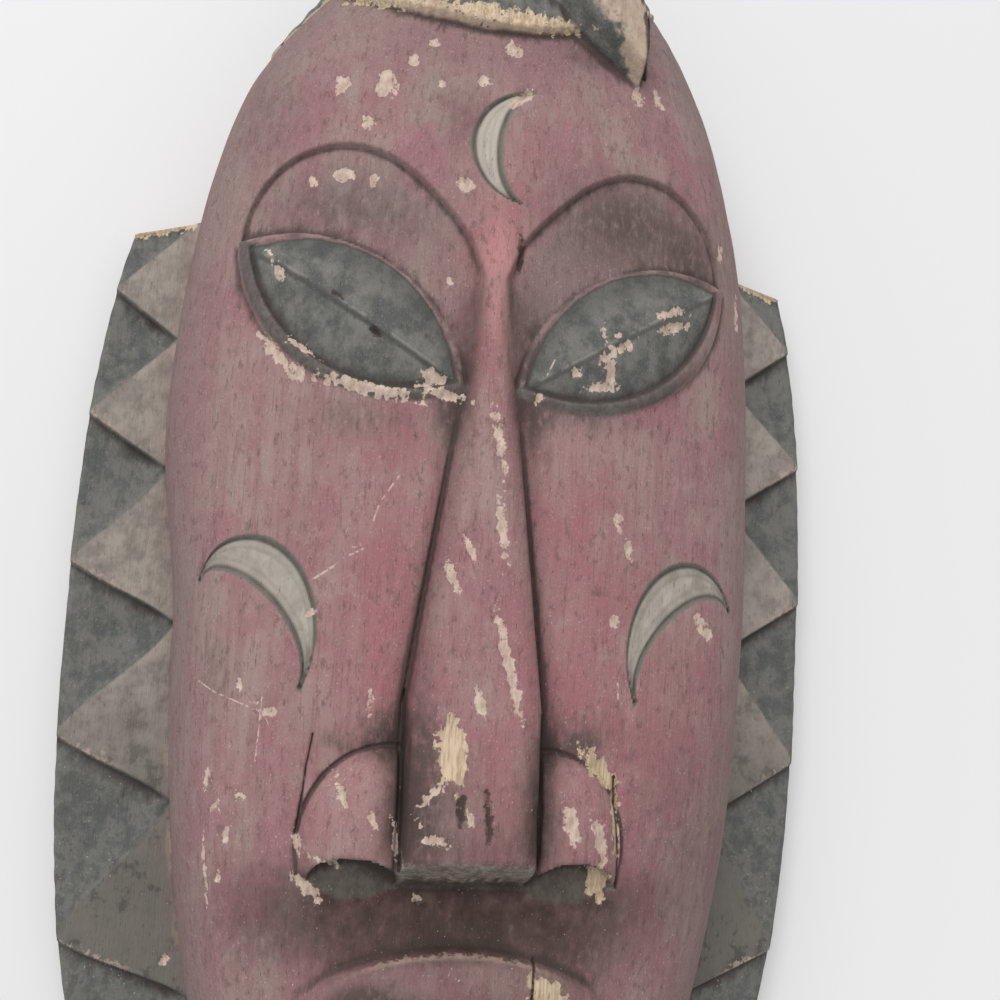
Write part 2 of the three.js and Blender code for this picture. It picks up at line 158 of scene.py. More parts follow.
def lean(x, y):
    """The mask is a little uneven: on the left its crown is narrower and its low cheek is set in."""
    beside = np.abs(x) - head_half(y)
    low = ease(112, 50, y) * ease(-115, -60, y) * ease(-23, -1, beside) * ease(24, 3, beside)
    return np.where(x < 0, x * (1 - CROWN_LEAN * ease(200, 250, y)) + CHEEK_INSET * low, x)


def straight(x, y):
    """Undoes lean."""
    found = x
    for _ in range(8):
        found = x - (lean(found, y) - found)
    return found


def hollow_height(x, y):
    half = np.maximum(head_half(y, -WALL), 1e-6)
    return HOLLOW_DEPTH * head_reach(y, -WALL) * superellipse(x / half, HOLLOW_POWER)


# Distances to the edges of what is carved, negative inside


def lens(s, t, long, wide):
    """Almond of two arcs, pointed at both ends of s."""
    radius = (long * long + wide * wide) / (2 * wide)
    return np.hypot(s, np.abs(t) + radius - wide) - radius


def lid_edge(s, t):
    """The lid is a wide band under the eye and a thin line over it."""
    over = lens(s, t, EYE_LONG + LID, EYE_WIDE + UPPER_LID)
    return np.where(t > 0, over, lens(s, t, EYE_LONG + LID, EYE_WIDE + LID))


def eye_place(x, y):
    """Place along the eye, from its inner to its outer corner, and across it, up positive."""
    dx, dy = np.abs(x) - EYE[0], y - EYE[1]
    c, s = math.cos(EYE_TILT), math.sin(EYE_TILT)
    return dx * c + dy * s, dy * c - dx * s


def socket_ratio(x, y):
    """Share of the way from the socket's centre to its edge, distance to the edge, and bearing."""
    dx, dy = np.abs(x) - SOCKET_X, y - SOCKET_Y
    angle = np.arctan2(dy, dx)
    rim = 1 + 0.135 * np.cos(angle) + 0.091 * np.sin(angle)
    rim += 0.068 * np.cos(2 * angle) + 0.091 * np.sin(2 * angle)
    rim -= 0.028 * np.cos(3 * angle) + 0.026 * np.sin(3 * angle)
    rim *= SOCKET_REACH
    rim *= 1 + 0.2 * ease(0.2, -0.8, np.cos(angle)) * ease(0.35, -0.35, np.sin(angle))
    ratio = np.hypot(dx, dy) / rim
    bridge = np.where(y > NOSE_TOP, NOSE_HALF_TOP + 0.4 * (y - NOSE_TOP), nose_half(y))
    return ratio, np.maximum((ratio - 1) * rim, bridge - np.abs(x)), angle


# Side, middle, turn, half length, heights of the outer and inner arc, skew and bluntness
MOONS = (
    (1, 58.48, 51.82, math.radians(40.4), 20.0, 22.3, 11.3, 0.28, 1.05),
    (-1, 58.48, 51.82, math.radians(40.4), 20.0, 22.3, 11.3, 0.28, 1.05),
    (1, 9.06, 185.37, math.radians(85), 16.6, 16.8, 9.2, 0.0, 1.0),
)


def moon_edge(x, y):
    edge = np.full(np.broadcast(x, y).shape, 99.0)
    for side, mx, my, turn, half, outer, inner, skew, blunt in MOONS:
        dx, dy = side * x - mx, y - my
        run = dx * math.cos(turn) + dy * math.sin(turn)
        rise = dy * math.cos(turn) - dx * math.sin(turn)
        share = (run - skew * rise) / half
        arch = superellipse(share, 2)
        beyond = np.maximum(np.abs(share) - 1, 0) * half
        here = 0.85 * np.maximum(rise - outer * arch, inner * superellipse(share * blunt, 2) - rise)
        edge = np.minimum(edge, np.where(beyond > 0, np.hypot(rise, beyond), here))
    return edge


def nose_half(y):
    return mix(NOSE_HALF_TOP, NOSE_HALF, clamp((NOSE_TOP - y) / NOSE_TOP / 0.75))


def nose_edge(x, y):
    return np.maximum(np.abs(x) - nose_half(y), np.maximum(y - NOSE_TOP, -9 - y))


def underside_height(y):
    """Height of the leaning cut that ends the nose and its wings."""
    return FACE_DEPTH + NOSE_RISE + y / UNDERSIDE_LEAN


def nostril_share(x, y):
    """Share of the way from a nostril's middle to its edge."""
    return np.hypot((np.abs(x) - NOSTRIL_X) / NOSTRIL_WIDE, (y - NOSTRIL_Y) / NOSTRIL_TALL)


def mouth_edge(x, y):
    return (np.hypot(x / MOUTH_HALF, (y - MOUTH_Y) / MOUTH_TALL) - 1) * 22


def hair_edge(x, y):
    turned = ease(0.86, 1.0, -x / np.maximum(head_half(y), 1.0))
    low = 220.5 + 0.0045 * x * x - 22 * turned + 12 * ease(34, 50, x)
    return low + 0.9 * waves(x, y, 11, 23, 60) - y


LOCK = np.array([[6.84, 263.0], [23.1, 243.9], [38.9, 210.5]])


def lock_place(x, y):
    """Share of the way down the lock, and distance from its middle line, at the nearest spot."""
    best = np.full(np.broadcast(x, y).shape, 1e9)
    way, off = np.zeros_like(best), np.zeros_like(best)
    spots = np.linspace(0, 1, 61)
    for v in spots:
        p = (1 - v) ** 2 * LOCK[0] + 2 * v * (1 - v) * LOCK[1] + v * v * LOCK[2]
        d = 2 * (1 - v) * (LOCK[1] - LOCK[0]) + 2 * v * (LOCK[2] - LOCK[1])
        d = d / np.hypot(*d)
        dx, dy = x - p[0], y - p[1]
        far = dx * dx + dy * dy
        near = far < best
        best = np.where(near, far, best)
        way = np.where(near, v + (dx * d[0] + dy * d[1]) / LOCK_LENGTH, way)
        off = np.where(near, dy * d[0] - dx * d[1], off)
    return way, off


def lock_edge(x, y):
    way, off = lock_place(x, y)
    half = LOCK_HALF * (1 - clamp(way) ** 4)
    return np.maximum(np.abs(off) - half, np.maximum(-way, way - 1) * 60), way, off


# The collar's outline and its triangles


def collar_edge(y):
    drop = COLLAR_MIDDLE - BOTTOM
    return COLLAR_HALF * superellipse((y - COLLAR_MIDDLE) / drop, COLLAR_POWER)


class Edge:
    """The collar's outer edge on the right, by the distance from its cut end."""

    def __init__(self):
        share = np.sin(np.pi / 2 * np.linspace(0, 1, 6001))
        self.y = mix(COLLAR_TOP, BOTTOM, share)
        self.x = collar_edge(self.y)
        steps = np.hypot(np.diff(self.x), np.diff(self.y))
        self.way = np.concatenate([[0], np.cumsum(steps)])
        self.length = self.way[-1]

    def at(self, distance):
        d = np.clip(distance, 0, self.length)
        return np.stack([np.interp(d, self.way, self.x), np.interp(d, self.way, self.y)], -1)


edge = Edge()


def notch_corners():
    """Upper and lower corner on the edge, and the point at the head, of each triangle."""
    pitches = np.minimum(GROWTH ** np.arange(NOTCHES), LONGEST)
    unit = edge.length / (pitches.sum() - FIRST_CUT)
    start = -FIRST_CUT * unit
    corners = []
    for pitch in pitches:
        upper, lower = edge.at(start), edge.at(start + NOTCH_SHARE * pitch * unit)
        base = edge.at(start + 0.42 * AIM_SHARE * pitch * unit)
        heart = np.array([0.0, mix(base[1], WIDEST, 0.08)])
        step = (heart - base) / np.hypot(*(heart - base))
        point = base.copy()
        while point[0] > head_half(point[1]) + 1 and np.hypot(*(point - base)) < 96:
            point = point + step
        if not corners:
            point = upper + np.array([-17.0, 4.9])
        corners.append((upper, lower, point))
        start += pitch * unit
    return corners


def notch_cut(x, y):
    """Distance to the nearest triangle, negative inside, its depth, and distance to its low side."""
    ax = np.abs(x)
    nearest = np.full(np.broadcast(x, y).shape, 99.0)
    depth = np.zeros_like(nearest)
    low_side = np.full_like(nearest, -9.0)
    for upper, lower, point in notch_corners():
        u = upper + (upper - point) / np.hypot(*(upper - point)) * 3
        low = lower + (lower - point) / np.hypot(*(lower - point)) * 3
        # the side from point to upper is the deep one
        area = (u[0] - point[0]) * (low[1] - point[1]) - (u[1] - point[1]) * (low[0] - point[0])
        wu = ((ax - point[0]) * (low[1] - point[1]) - (y - point[1]) * (low[0] - point[0])) / area
        wl = ((u[0] - point[0]) * (y - point[1]) - (u[1] - point[1]) * (ax - point[0])) / area
        wp = 1 - wu - wl
        heights = abs(area) / np.array(
            [np.hypot(*(low - point)), np.hypot(*(u - point)), np.hypot(*(u - low))]
        )
        within = np.minimum(np.minimum(wu * heights[0], wl * heights[1]), wp * heights[2])
        rising = mix(0.3, 1.0, ease(0, 8, wu * heights[0]))
        cut = (1.2 * wu + 0.3 * wl + 3.0 * wp) * rising
        closer = -within < nearest
        depth = np.where(closer, cut, depth)
        low_side = np.where(closer, wu * heights[0], low_side)
        nearest = np.minimum(nearest, -within)
    return nearest, depth, low_side


# Wear. Each patch has its middle x and y, half its width and height, and its tilt in degrees.

FLAKES = {
    "left lid, outer rim": (-55.5, 124.5, 1.3, 6.5, -42),
    "left lid, outer foot": (-50, 119.5, 1.6, 3.5, -60),
    "left lid, low rim": (-32, 116, 1.5, 13, -80),
    "left lid, inner rim": (-12.5, 116, 1.3, 6, -77),
    "left eye, inner corner": (-15, 120, 1.6, 3.4, -62),
    "left lid, scuff": (-49.5, 126, 0.9, 3.6, -57),
    "left eye, scuff": (-56.5, 146.3, 0.8, 3.8, -32),
    "left eye, spot": (-12, 146.3, 0.8, 1.1, 0),
    "right eye, crossing": (33.2, 131.3, 1.2, 5.6, 56),
    "right eye, fall": (31.6, 126, 1.3, 4.2, -5),
    "right eye, foot": (29.6, 121.3, 1.1, 4.4, 80),
    "right eye, drop": (22.3, 124.3, 1.1, 1.7, 20),
    "right eye, upper stroke": (29.9, 134.5, 0.7, 2.6, -15),
    "right eye, upper spot": (33.3, 135.4, 0.9, 0.8, 0),
    "right eye, outer scuff": (48.6, 143.8, 1.1, 4.6, 70),
    "right eye, outer spots": (49.8, 140.1, 1.1, 5.8, 69),
    "right eye, inner corner": (12.7, 116.9, 1, 1.3, 0),
    "right temple": (67.3, 167, 1.1, 2.8, 10),
    "right temple, low": (74.6, 151, 0.9, 4.5, 5),
    "brow, left small": (-49, 172, 1, 1.6, 0),
    "brow, left inner": (-33, 172.5, 1.1, 1.5, 0),
    "bridge, top": (2.5, 104.5, 1, 7.5, -11),
    "bridge, middle": (4.3, 81.5, 1.1, 7.6, -11),
    "bridge, low": (7.2, 48, 1.3, 12.3, -16),
    "bridge, left": (-3.8, 76.5, 0.9, 3.2, -20),
    "bridge, left low": (-8, 69.5, 1.2, 3.7, -20),
    "nose, beside the bare patch": (0.3, 39, 1.2, 3.9, -15),
    "nose, trail": (-10, 16.5, 0.8, 3.6, 48),
    "nose, low left": (-9, 5.6, 1.1, 3.4, -80),
    "nose, low": (-0.8, 11, 0.8, 2.1, -20),
    "under the nose": (-10.5, -12.3, 0.9, 2.1, -70),
    "left nostril, top": (-31.8, 15, 0.9, 3.4, -20),
    "left nostril, inner": (-23.8, 9, 0.8, 2.1, -20),
    "left nostril, crease": (-18, 4.5, 0.8, 4.6, -12),
    "left nostril, outer": (-41.5, 1.8, 0.9, 2.9, -20),
    "left nostril, foot": (-38.5, -9.5, 1.6, 4.4, -48),
    "left nostril, arch": (-34.5, -2.2, 0.7, 3.6, -70),
    "right nostril, front": (25.8, 9.5, 1.8, 5.2, -15),
    "right nostril, side": (33.8, 6, 1.6, 6.2, -18),
    "forehead, far left": (-43, 200, 1.7, 2.8, 0),
    "forehead, left": (-31.5, 200.3, 2.9, 4, 0),
    "forehead, left low": (-35.6, 188.2, 1.7, 2.3, 0),
    "brow, left": (-41, 174, 2.6, 1.9, 0),
    "brow, inner": (-9.5, 172.5, 2.2, 1.9, 0),
    "forehead, middle": (2.7, 214.7, 1.8, 2.5, 0),
    "forehead, high left": (-24.6, 207.8, 1.5, 1.7, 0),
    "forehead, high": (-20, 214, 1.3, 1.3, 0),
    "forehead, by the crescent": (-5.5, 203.2, 1.7, 1.6, 0),
    "forehead, spot": (-16.8, 201.5, 1, 0.9, 0),
    "forehead crescent, tip": (4.8, 199.5, 1.5, 4, 45),
    "right cheek, high": (36.3, 86.7, 1.1, 2.6, -18),
    "right cheek, middle": (39.5, 78.8, 1, 2.2, -12),
    "right cheek, low": (36.2, 60.2, 1.3, 1.5, 0),
    "right crescent, inside": (63.5, 59.7, 1.6, 4.2, -42),
    "left crescent, spot": (-42.2, 57.8, 0.8, 1.2, 60),
    "left cheek, spot": (-58.6, 39.2, 0.9, 1.2, 20),
    "left cheek, patch": (-50.5, 33.3, 1.5, 1.1, 0),
    "left cheek, by the nose": (-25.8, 37.3, 0.8, 2.7, 5),
    "low left, first": (-66.3, 14.5, 0.7, 2.6, 22),
    "low left, first arm": (-65, 16, 0.5, 1.6, -30),
    "low left, second": (-56, 12, 0.7, 1.3, -60),
    "low left, third": (-62.3, 8.7, 0.7, 1.6, 50),
    "low left, fourth": (-59, 1.8, 0.6, 1.4, 10),
    "low left, fifth": (-65.5, -8, 0.6, 6.5, -8),
    "low left, sixth": (-60.8, -9, 0.8, 1.2, 0),
    "left collar": (-80.7, -41, 1.2, 1.2, 0),
    "under the lock": (39, 207, 1.7, 2.5, 0),
    "beside the lock": (46, 208, 1.3, 2.5, -20),
}

BARE = {
    "nose, wide patch": (-5.8, 26.5, 3.6, 8.2, -8),
    "right nostril, rim": (34.5, 22, 2.4, 6.5, -42),
    "right nostril, edge": (39, 10, 1.3, 8, -4),
    "right nostril, foot": (35.2, -6.2, 2.7, 5, -12),
    "upper lip, right": (25, -36, 3.6, 8, -45),
    "hair edge, left": (-31, 226.5, 1.6, 13, -84),
    "hair edge, middle": (1, 224.5, 2.6, 19, -87),
}

PITS = {
    "nose, left": (-3, 12.8, 1.1, 3.8, -6),
    "nose, right": (3.6, 12, 0.8, 5.2, -6),
    "nose, right side": (16.2, 9, 0.9, 7, -4),
    "bridge": (6.3, 156, 0.8, 4.4, 0),
    "left eye": (-30.5, 130.2, 0.7, 1.5, -50),
    "left eye, upper": (-40.5, 139.5, 0.4, 1.6, -60),
    "under the nose": (-9, -13.6, 0.6, 1.6, -80),
    "left nostril": (-16.5, 14, 0.6, 9, 0),
}

# Soft smudges of dirt, and of painted shade in creases, sockets, eye corners and under the nose,
# have a strength in place of the tilt.
DIRT_AND_SHADE_SPOTS = {
    "left cheek": (-66, 42, 4, 11, 0.5),
    "over the left nostril": (-19, 28, 6, 5, 2.2),
    "round the left nostril": (-30, 27, 9, 3, 0.7),
    "over the right nostril": (28, 29, 9, 4, 1.3),
    "right nostril, at the nose": (18.5, 28, 3, 6, 2.0),
    "left nostril, side": (-19, 14, 3, 14, 0.8),
    "right nostril, side": (20, 10, 3, 14, 0.6),
    "nose, round the bare patch": (-8, 16, 6, 9, 0.5),
    "nose, left edge": (-13, 16, 4, 26, 1.0),
    "nose, right edge": (14, 12, 3, 18, 0.7),
    "nose, low": (0, 4, 16, 5, 0.5),
    "lip, left": (-22, -37, 8, 5, 1.8),
    "lip, middle": (-2, -42, 9, 5, 0.9),
    "philtrum": (-4, -22, 26, 6, 0.9),
    "beside the mouth, right": (34, -28, 10, 8, 0.7),
    "left eye, inner corner": (-10, 118, 4, 12, 2.0),
    "right eye, inner corner": (11.5, 122, 4, 16, 2.2),
    "right socket": (36, 168, 22, 12, 1.0),
    "right socket, outer": (58, 160, 8, 10, 0.8),
    "left socket": (-38, 164, 20, 9, 0.7),
    "forehead, left": (-60, 190, 10, 14, 0.4),
    "forehead, by the crescent": (-12, 192, 7, 9, 0.5),
    "forehead, below the lock": (26, 217, 11, 5, 0.7),
    "under the left eye": (-32, 108, 14, 4, 0.6),
    "under the right eye": (24, 113, 15, 3, 0.8),
    "low right": (58, 2, 14, 30, 0.4),
    "low left": (-50, -20, 18, 14, 0.5),
    "under the nose": (2, -17, 24, 5, 0.8),
}

# Each line runs from x, y to x, y and has half its width.

CRACKS = {
    "left of the nose": (-17.4, 40, -16.7, -3, 0.35),
    "right of the nose": (16.6, 36, 17.2, -6, 0.4),
    "left nostril": (-39.5, 28, -42, 4, 0.25),
    "right nostril": (38.5, 20, 41, -8, 0.35),
    "upper lip": (19.8, -26.5, 19.2, -48, 0.4),
    "lock": (48.5, 254, 41.2, 214, 0.7),
}

SCRATCHES = {
    "left cheek, long": (-71, 39, -50, 32, 0.22),
    "left cheek, down": (-52.5, 36, -53, 21, 0.2),
    "left cheek, high": (-22.5, 93.5, -26.5, 87.5, 0.26),
    "left cheek, curl": (-26.5, 87.5, -27.8, 82.5, 0.24),
    "left crescent, first": (-41.5, 67, -36.5, 70.5, 0.3),
    "left crescent, second": (-33, 73.5, -30.5, 74.8, 0.3),
    "right crescent, below": (38.2, 44, 38.4, 40.5, 0.3),
    "right lid": (14.3, 122.8, 16.2, 127.2, 0.25),
}


def stroke(x, y, mark):
    """Distance past a mark's ends, distance across its line and its half width."""
    x0, y0, x1, y1, half = mark
    size = max(math.hypot(x1 - x0, y1 - y0), 0.01)
    along = ((x - x0) * (x1 - x0) + (y - y0) * (y1 - y0)) / size
    across = ((y - y0) * (x1 - x0) - (x - x0) * (y1 - y0)) / size
    return np.maximum(np.maximum(-along, along - size), 0), across, half


def patch_edge(x, y, marks, seed):
    """Distance to the ragged edge of the nearest flaked patch, negative inside."""
    edge = np.full(x.shape, 9.0)
    size = np.ones_like(edge)
    for mid_x, mid_y, half_wide, half_tall, tilt in marks.values():
        near = np.hypot(x - mid_x, y - mid_y) < half_wide + half_tall + 4
        dx, dy = x[near] - mid_x, y[near] - mid_y
        c, s = math.cos(math.radians(tilt)), math.sin(math.radians(tilt))
        share = np.hypot((dx * c - dy * s) / half_wide, (dx * s + dy * c) / half_tall)
        far = (share - 1) * min(half_wide, half_tall)
        size[near] = np.where(far < edge[near], min(half_wide, half_tall), size[near])
        edge[near] = np.minimum(edge[near], far)
    return edge + 0.4 * size * waves(x, y, seed, 4, 4.5) * ease(6, 3, edge)


def line_place(x, y, marks):
    """How far across the nearest line a place is, in half widths, and how far past its ends."""
    best = np.full(x.shape, 9.0)
    side = np.full(x.shape, 9.0)
    out = np.full(x.shape, 9.0)
    for mark in marks.values():
        past, across, half = stroke(x, y, mark)
        across = across + 0.5 * waves(x, y, 31, 9, 9) * half
        far = np.hypot(past, across)
        near = far < best
        best = np.where(near, far, best)
        side = np.where(near, across / half, side)
        out = np.where(near, past, out)
    return side, out


# Carving of the face


def carve(x, y, z):
    """Height of the carved face over a place on the head whose plain height is z."""
    front = ease(SIDE + 2, SIDE + 10, z)
    plain = z

    # sockets under the brows
    ratio, socket, angle = socket_ratio(x, y)
    above = ease(-0.5, 0.1, np.sin(angle + 0.25))
    z = z - inside(socket, 0.8) * (1.3 * above + 5.7 * np.maximum(0, 1 - ratio * ratio)) * front
    z = z - 0.5 * line(socket + 0.4, 0.75) * above * front

    # eyes, lids and the closed slits
    s, t = eye_place(x, y)
    base = head_height(0.94 * x, y)
    lid = lid_edge(s, t)
    eye = lens(s, t, EYE_LONG, EYE_WIDE)
    width = np.maximum(1.0, EYE_WIDE * (1 - (s / EYE_LONG) ** 2))
    across = clamp(t / width, -1, 1)
    lid_top = base + 1.2 * ease(0.6, -0.6, t / (width + LID)) - 0.3
    z = mix(z, lid_top - 0.9 * ease(-2.4, 0.3, lid), inside(lid, 0.7))
    roof = (1 - np.abs(across)) * (1 - clamp(np.abs(s) / EYE_LONG) ** 4)
    eyeball = base - 0.8 + 3.3 * roof
    eyeball += 0.25 * line(t, 0.8) * ease(EYE_LONG, EYE_LONG - 6, np.abs(s)) * (x < 0)
    eyeball -= 0.5 * line(t + 1.7, 0.5) * ease(EYE_LONG - 2, EYE_LONG - 9, np.abs(s)) * (x < 0)
    z = mix(z, eyeball, inside(eye))
    z = z - 0.5 * line(eye - 0.2, 0.4) * ease(1, -1, lid)

    # dip over the upper lip, and the mouth
    dip = (x / 42.75) ** 2 + ((y + 13) / 14.5) ** 2
    z = z - np.maximum(0, 4.0 - 4.6 * dip)
    along, over = x / MOUTH_HALF, (y - MOUTH_Y)
    over = over / (MOUTH_TALL * np.sqrt(np.maximum(1e-4, 1 - along**2)))
    body = 0.45 + 0.55 * np.sqrt(np.maximum(0, 1 - over**2))
    parting = 0.75 * line(over, 0.13)
    lips = plain + 6 * ((body - parting) * (1 - clamp(np.abs(along)) ** 6))
    z = mix(z, lips, inside(mouth_edge(x, y), 1.1))

    # nose and its wings, cut off by the leaning underside
    root = float(head_height(np.zeros(1), np.full(1, NOSE_TOP))[0])
    ridge = mix(FACE_DEPTH + NOSE_RISE, root, y / NOSE_TOP)
    off_nose = nose_edge(x, y)
    flat = ridge - 1.6 * np.minimum(np.abs(x) / nose_half(y), 1) ** 3
    nose = mix(plain - 2, np.where(off_nose < 1.2, flat, -99), inside(off_nose, 1.1))
    wing = 1 - ((np.abs(x) - 20.0) / 21.5) ** 2 - ((y - 1) / 25) ** 2
    wings = np.where(wing > 0, plain - 0.6 + 9.5 * np.sqrt(np.maximum(0, wing)), -99)
    crease = line(off_nose - 0.6, 0.5) * ease(130, 60, y)
    group = np.maximum(nose, np.where(off_nose > 0, wings - 2.6 * crease, wings))
    group = softer_least(group, underside_height(y), 4.0)
    nostril = nostril_share(x, y)
    group = np.where(nostril < 1, np.minimum(group, 57 + 3 * nostril**4), group)
    z = z - 0.8 * line((wing + 0.03) * 11, 0.4) * ease(-6, 2, y) * (np.abs(x) > 16)
    z = z - 1.3 * crease * (wing < 0.02)
    z = np.maximum(z, group)

    # crescents, sunk inside a cut outline
    moon = moon_edge(x, y)
    z = z - (0.7 * inside(moon) + 0.4 * ease(0, -3, moon)) * front
    z = z - 0.6 * line(moon + 0.3, 0.6) * front
    return z


def undulation(x, y):
    """Slow unevenness of hand carving, with long flats along the grain."""
    return 0.22 * waves(x, y, 3, 17, 48) + 0.1 * waves(x, y, 4, 6, 30)


def worn_away(x, y):
    """How deep flakes, bare patches, cracks and scratches are."""
    depth = 0.3 * inside(patch_edge(x, y, FLAKES, FLAKE_SEED), 0.3)
    depth = np.maximum(depth, 0.45 * inside(patch_edge(x, y, BARE, BARE_SEED), 0.4))
    depth = depth + 0.9 * inside(patch_edge(x, y, PITS, PIT_SEED), 0.5)
    side, out = line_place(x, y, CRACKS)
    depth = depth + 1.3 * np.exp(-(side**2)) * ease(0.8, 0, out)
    side, out = line_place(x, y, SCRATCHES)
    return depth + 0.1 * np.exp(-(side**2)) * ease(0.8, 0, out)


def lift(x, y, z, ends):
    """What stands out from the head's skin: hair, the lock, unevenness and wear."""
    high = undulation(x, y) * ease(2, 8, z) * ends
    hair = inside(hair_edge(x, y))
    strands = 0.2 * np.sin(2 * np.pi * (x + 3 * np.sin(y / 13)) / 3.6)
    half = np.maximum(head_half(y), 1e-3)
    thinner = 1 - 0.75 * ease(0.6, 0.95, np.abs(x) / half) * ease(262, 245, y)
    high = high + hair * (HAIR_RISE * thinner + strands * ends * ease(SIDE, SIDE + 6, z))
    edge_of_lock, way, off = lock_edge(x, y)
    swell = ease(0, 0.5, way) * mix(1, 0.55, ease(0.6, 1, way))
    tall = 8.0 * swell * (1 - 0.5 * clamp(off / LOCK_HALF, -1, 1) ** 2) + (1 - hair) * HAIR_RISE
    high = high + tall * inside(edge_of_lock + 0.8, 1.9) * ease(SIDE, SIDE + 4, z)
    return high - worn_away(x, y) * ease(SIDE, SIDE + 5, z)


def collar_height(x, y, rim):
    """Height of the collar's front, with the triangles cut in; rim is the distance to its edge."""
    cut, depth, _ = notch_cut(x, y)
    z = COLLAR_THICK - depth * inside(cut, RAMP) + 0.6 * undulation(x, y)
    z = z - 0.3 * inside(patch_edge(x, y, FLAKES, FLAKE_SEED), 0.3)
    return z - 0.7 * ease(1.3, 0, rim)


# Meshes


def grid_triangles(rows, columns):
    i = np.arange((rows - 1) * (columns - 1))
    a = i // (columns - 1) * columns + i % (columns - 1)
    b, c, d = a + 1, a + columns + 1, a + columns
    return np.concatenate([np.stack([a, b, c], 1), np.stack([a, c, d], 1)])


def solid(name, points, triangles):
    """A mesh of welded points with its faces turned outwards."""
    points = np.round(points, 3)
    points, back = np.unique(points, axis=0, return_inverse=True)
    faces = back.reshape(-1)[triangles]
    a, b, c = faces.T
    faces = faces[(a != b) & (b != c) & (c != a)]
    corners = points[faces]
    volume = np.einsum("ij,ij->", corners[:, 0], np.cross(corners[:, 1], corners[:, 2])) / 6
    if volume < 0:
        faces = faces[:, ::-1]
    mesh = bpy.data.meshes.new(name)
    mesh.vertices.add(len(points))
    placed = (points + np.array([0, NOSE_TIP_Y, 0])) / 1000
    mesh.vertices.foreach_set("co", placed.astype(np.float32).ravel())
    mesh.loops.add(faces.size)
    mesh.loops.foreach_set("vertex_index", faces.astype(np.int32).ravel())
    mesh.polygons.add(len(faces))
    mesh.polygons.foreach_set("loop_start", (3 * np.arange(len(faces))).astype(np.int32))
    mesh.update(calc_edges=True)
    made = bpy.data.objects.new(name, mesh)
    bpy.context.collection.objects.link(made)
    return made


def between(name, top, low):
    """A closed solid between two grids of the same size."""
    rows, columns = top.shape[:2]
    count = rows * columns
    faces = grid_triangles(rows, columns)
    loop = np.concatenate(
        [
            np.arange(columns),
            np.arange(1, rows) * columns + columns - 1,
            (rows - 1) * columns + np.arange(columns - 2, -1, -1),
            np.arange(rows - 2, 0, -1) * columns,
        ]
    )
    after = np.roll(loop, -1)
    wall = np.stack([after, loop, loop + count], 1)
    rest = np.stack([after, loop + count, after + count], 1)
    points = np.concatenate([top.reshape(-1, 3), low.reshape(-1, 3)])
    return solid(name, points, np.concatenate([faces, faces[:, ::-1] + count, wall, rest]))


def row_places(low, high, step, end=12.0):
    """Even rows with ever finer ones towards both ends, where the outline turns."""
    fine = end * np.linspace(0, 1, int(26 / step)) ** 2.3
    even = np.linspace(low + end, high - end, int((high - low - 2 * end) / step))
    return np.unique(np.concatenate([low + fine, even, high - fine]))


def section_grid(ys, columns, half_at, height_at, power_at):
    """Points spaced evenly over each cross section, from one foot to the other."""
    c = -np.cos(np.linspace(0, np.pi, 1201))
    xs, zs = np.zeros((len(ys), columns)), np.zeros((len(ys), columns))
    for i, y in enumerate(ys):
        half = float(half_at(y))
        x = np.sign(c) * np.abs(c) ** (2 / float(power_at(y))) * half
        z = height_at(x, y)
        x, z = np.concatenate([[-half], x, [half]]), np.concatenate([[0], z, [0]])
        way = np.concatenate([[0], np.cumsum(np.hypot(np.diff(x), np.diff(z)) + 1e-9)])
        even = np.linspace(0, way[-1], columns)
        xs[i], zs[i] = np.interp(even, way, x), np.interp(even, way, z)
    return xs, np.repeat(ys[:, None], columns, 1), zs


def facing_out(points):
    out = np.cross(np.gradient(points, axis=1), np.gradient(points, axis=0))
    size = np.linalg.norm(out, axis=-1, keepdims=True)
    return np.where(size > 1e-12, out / np.maximum(size, 1e-12), np.array([0, 0, 1.0]))


def head_solid():
    ys = row_places(CHIN, CROWN, STEP * 1.1)
    columns = int(285 / STEP)
    x, y, z = section_grid(ys, columns, head_half, head_height, section_power)
    out = facing_out(np.stack([x, y, z], -1))
    ends = ease(CHIN, CHIN + 4, y) * ease(CROWN, CROWN - 4, y)
    high = np.where(z < SIDE - 1e-6, z, carve(x, y, z))
    points = np.stack([x, y, high], -1) + out * lift(x, y, z, ends)[..., None]
    points[..., 0] = lean(points[..., 0], points[..., 1])
    points[..., 2] = np.maximum(points[..., 2], 0)
    points[:, [0, -1], 2] = 0
    points[[0, -1], :, 0] = 0
    rows = len(ys)
    left = np.arange(rows) * columns
    right = left + columns - 1
    back = np.stack([left[:-1], left[1:], right[1:]], 1)
    rest = np.stack([left[:-1], right[1:], right[:-1]], 1)
    faces = np.concatenate([grid_triangles(rows, columns), back, rest])
    return solid("mask_carving", points.reshape(-1, 3), faces)


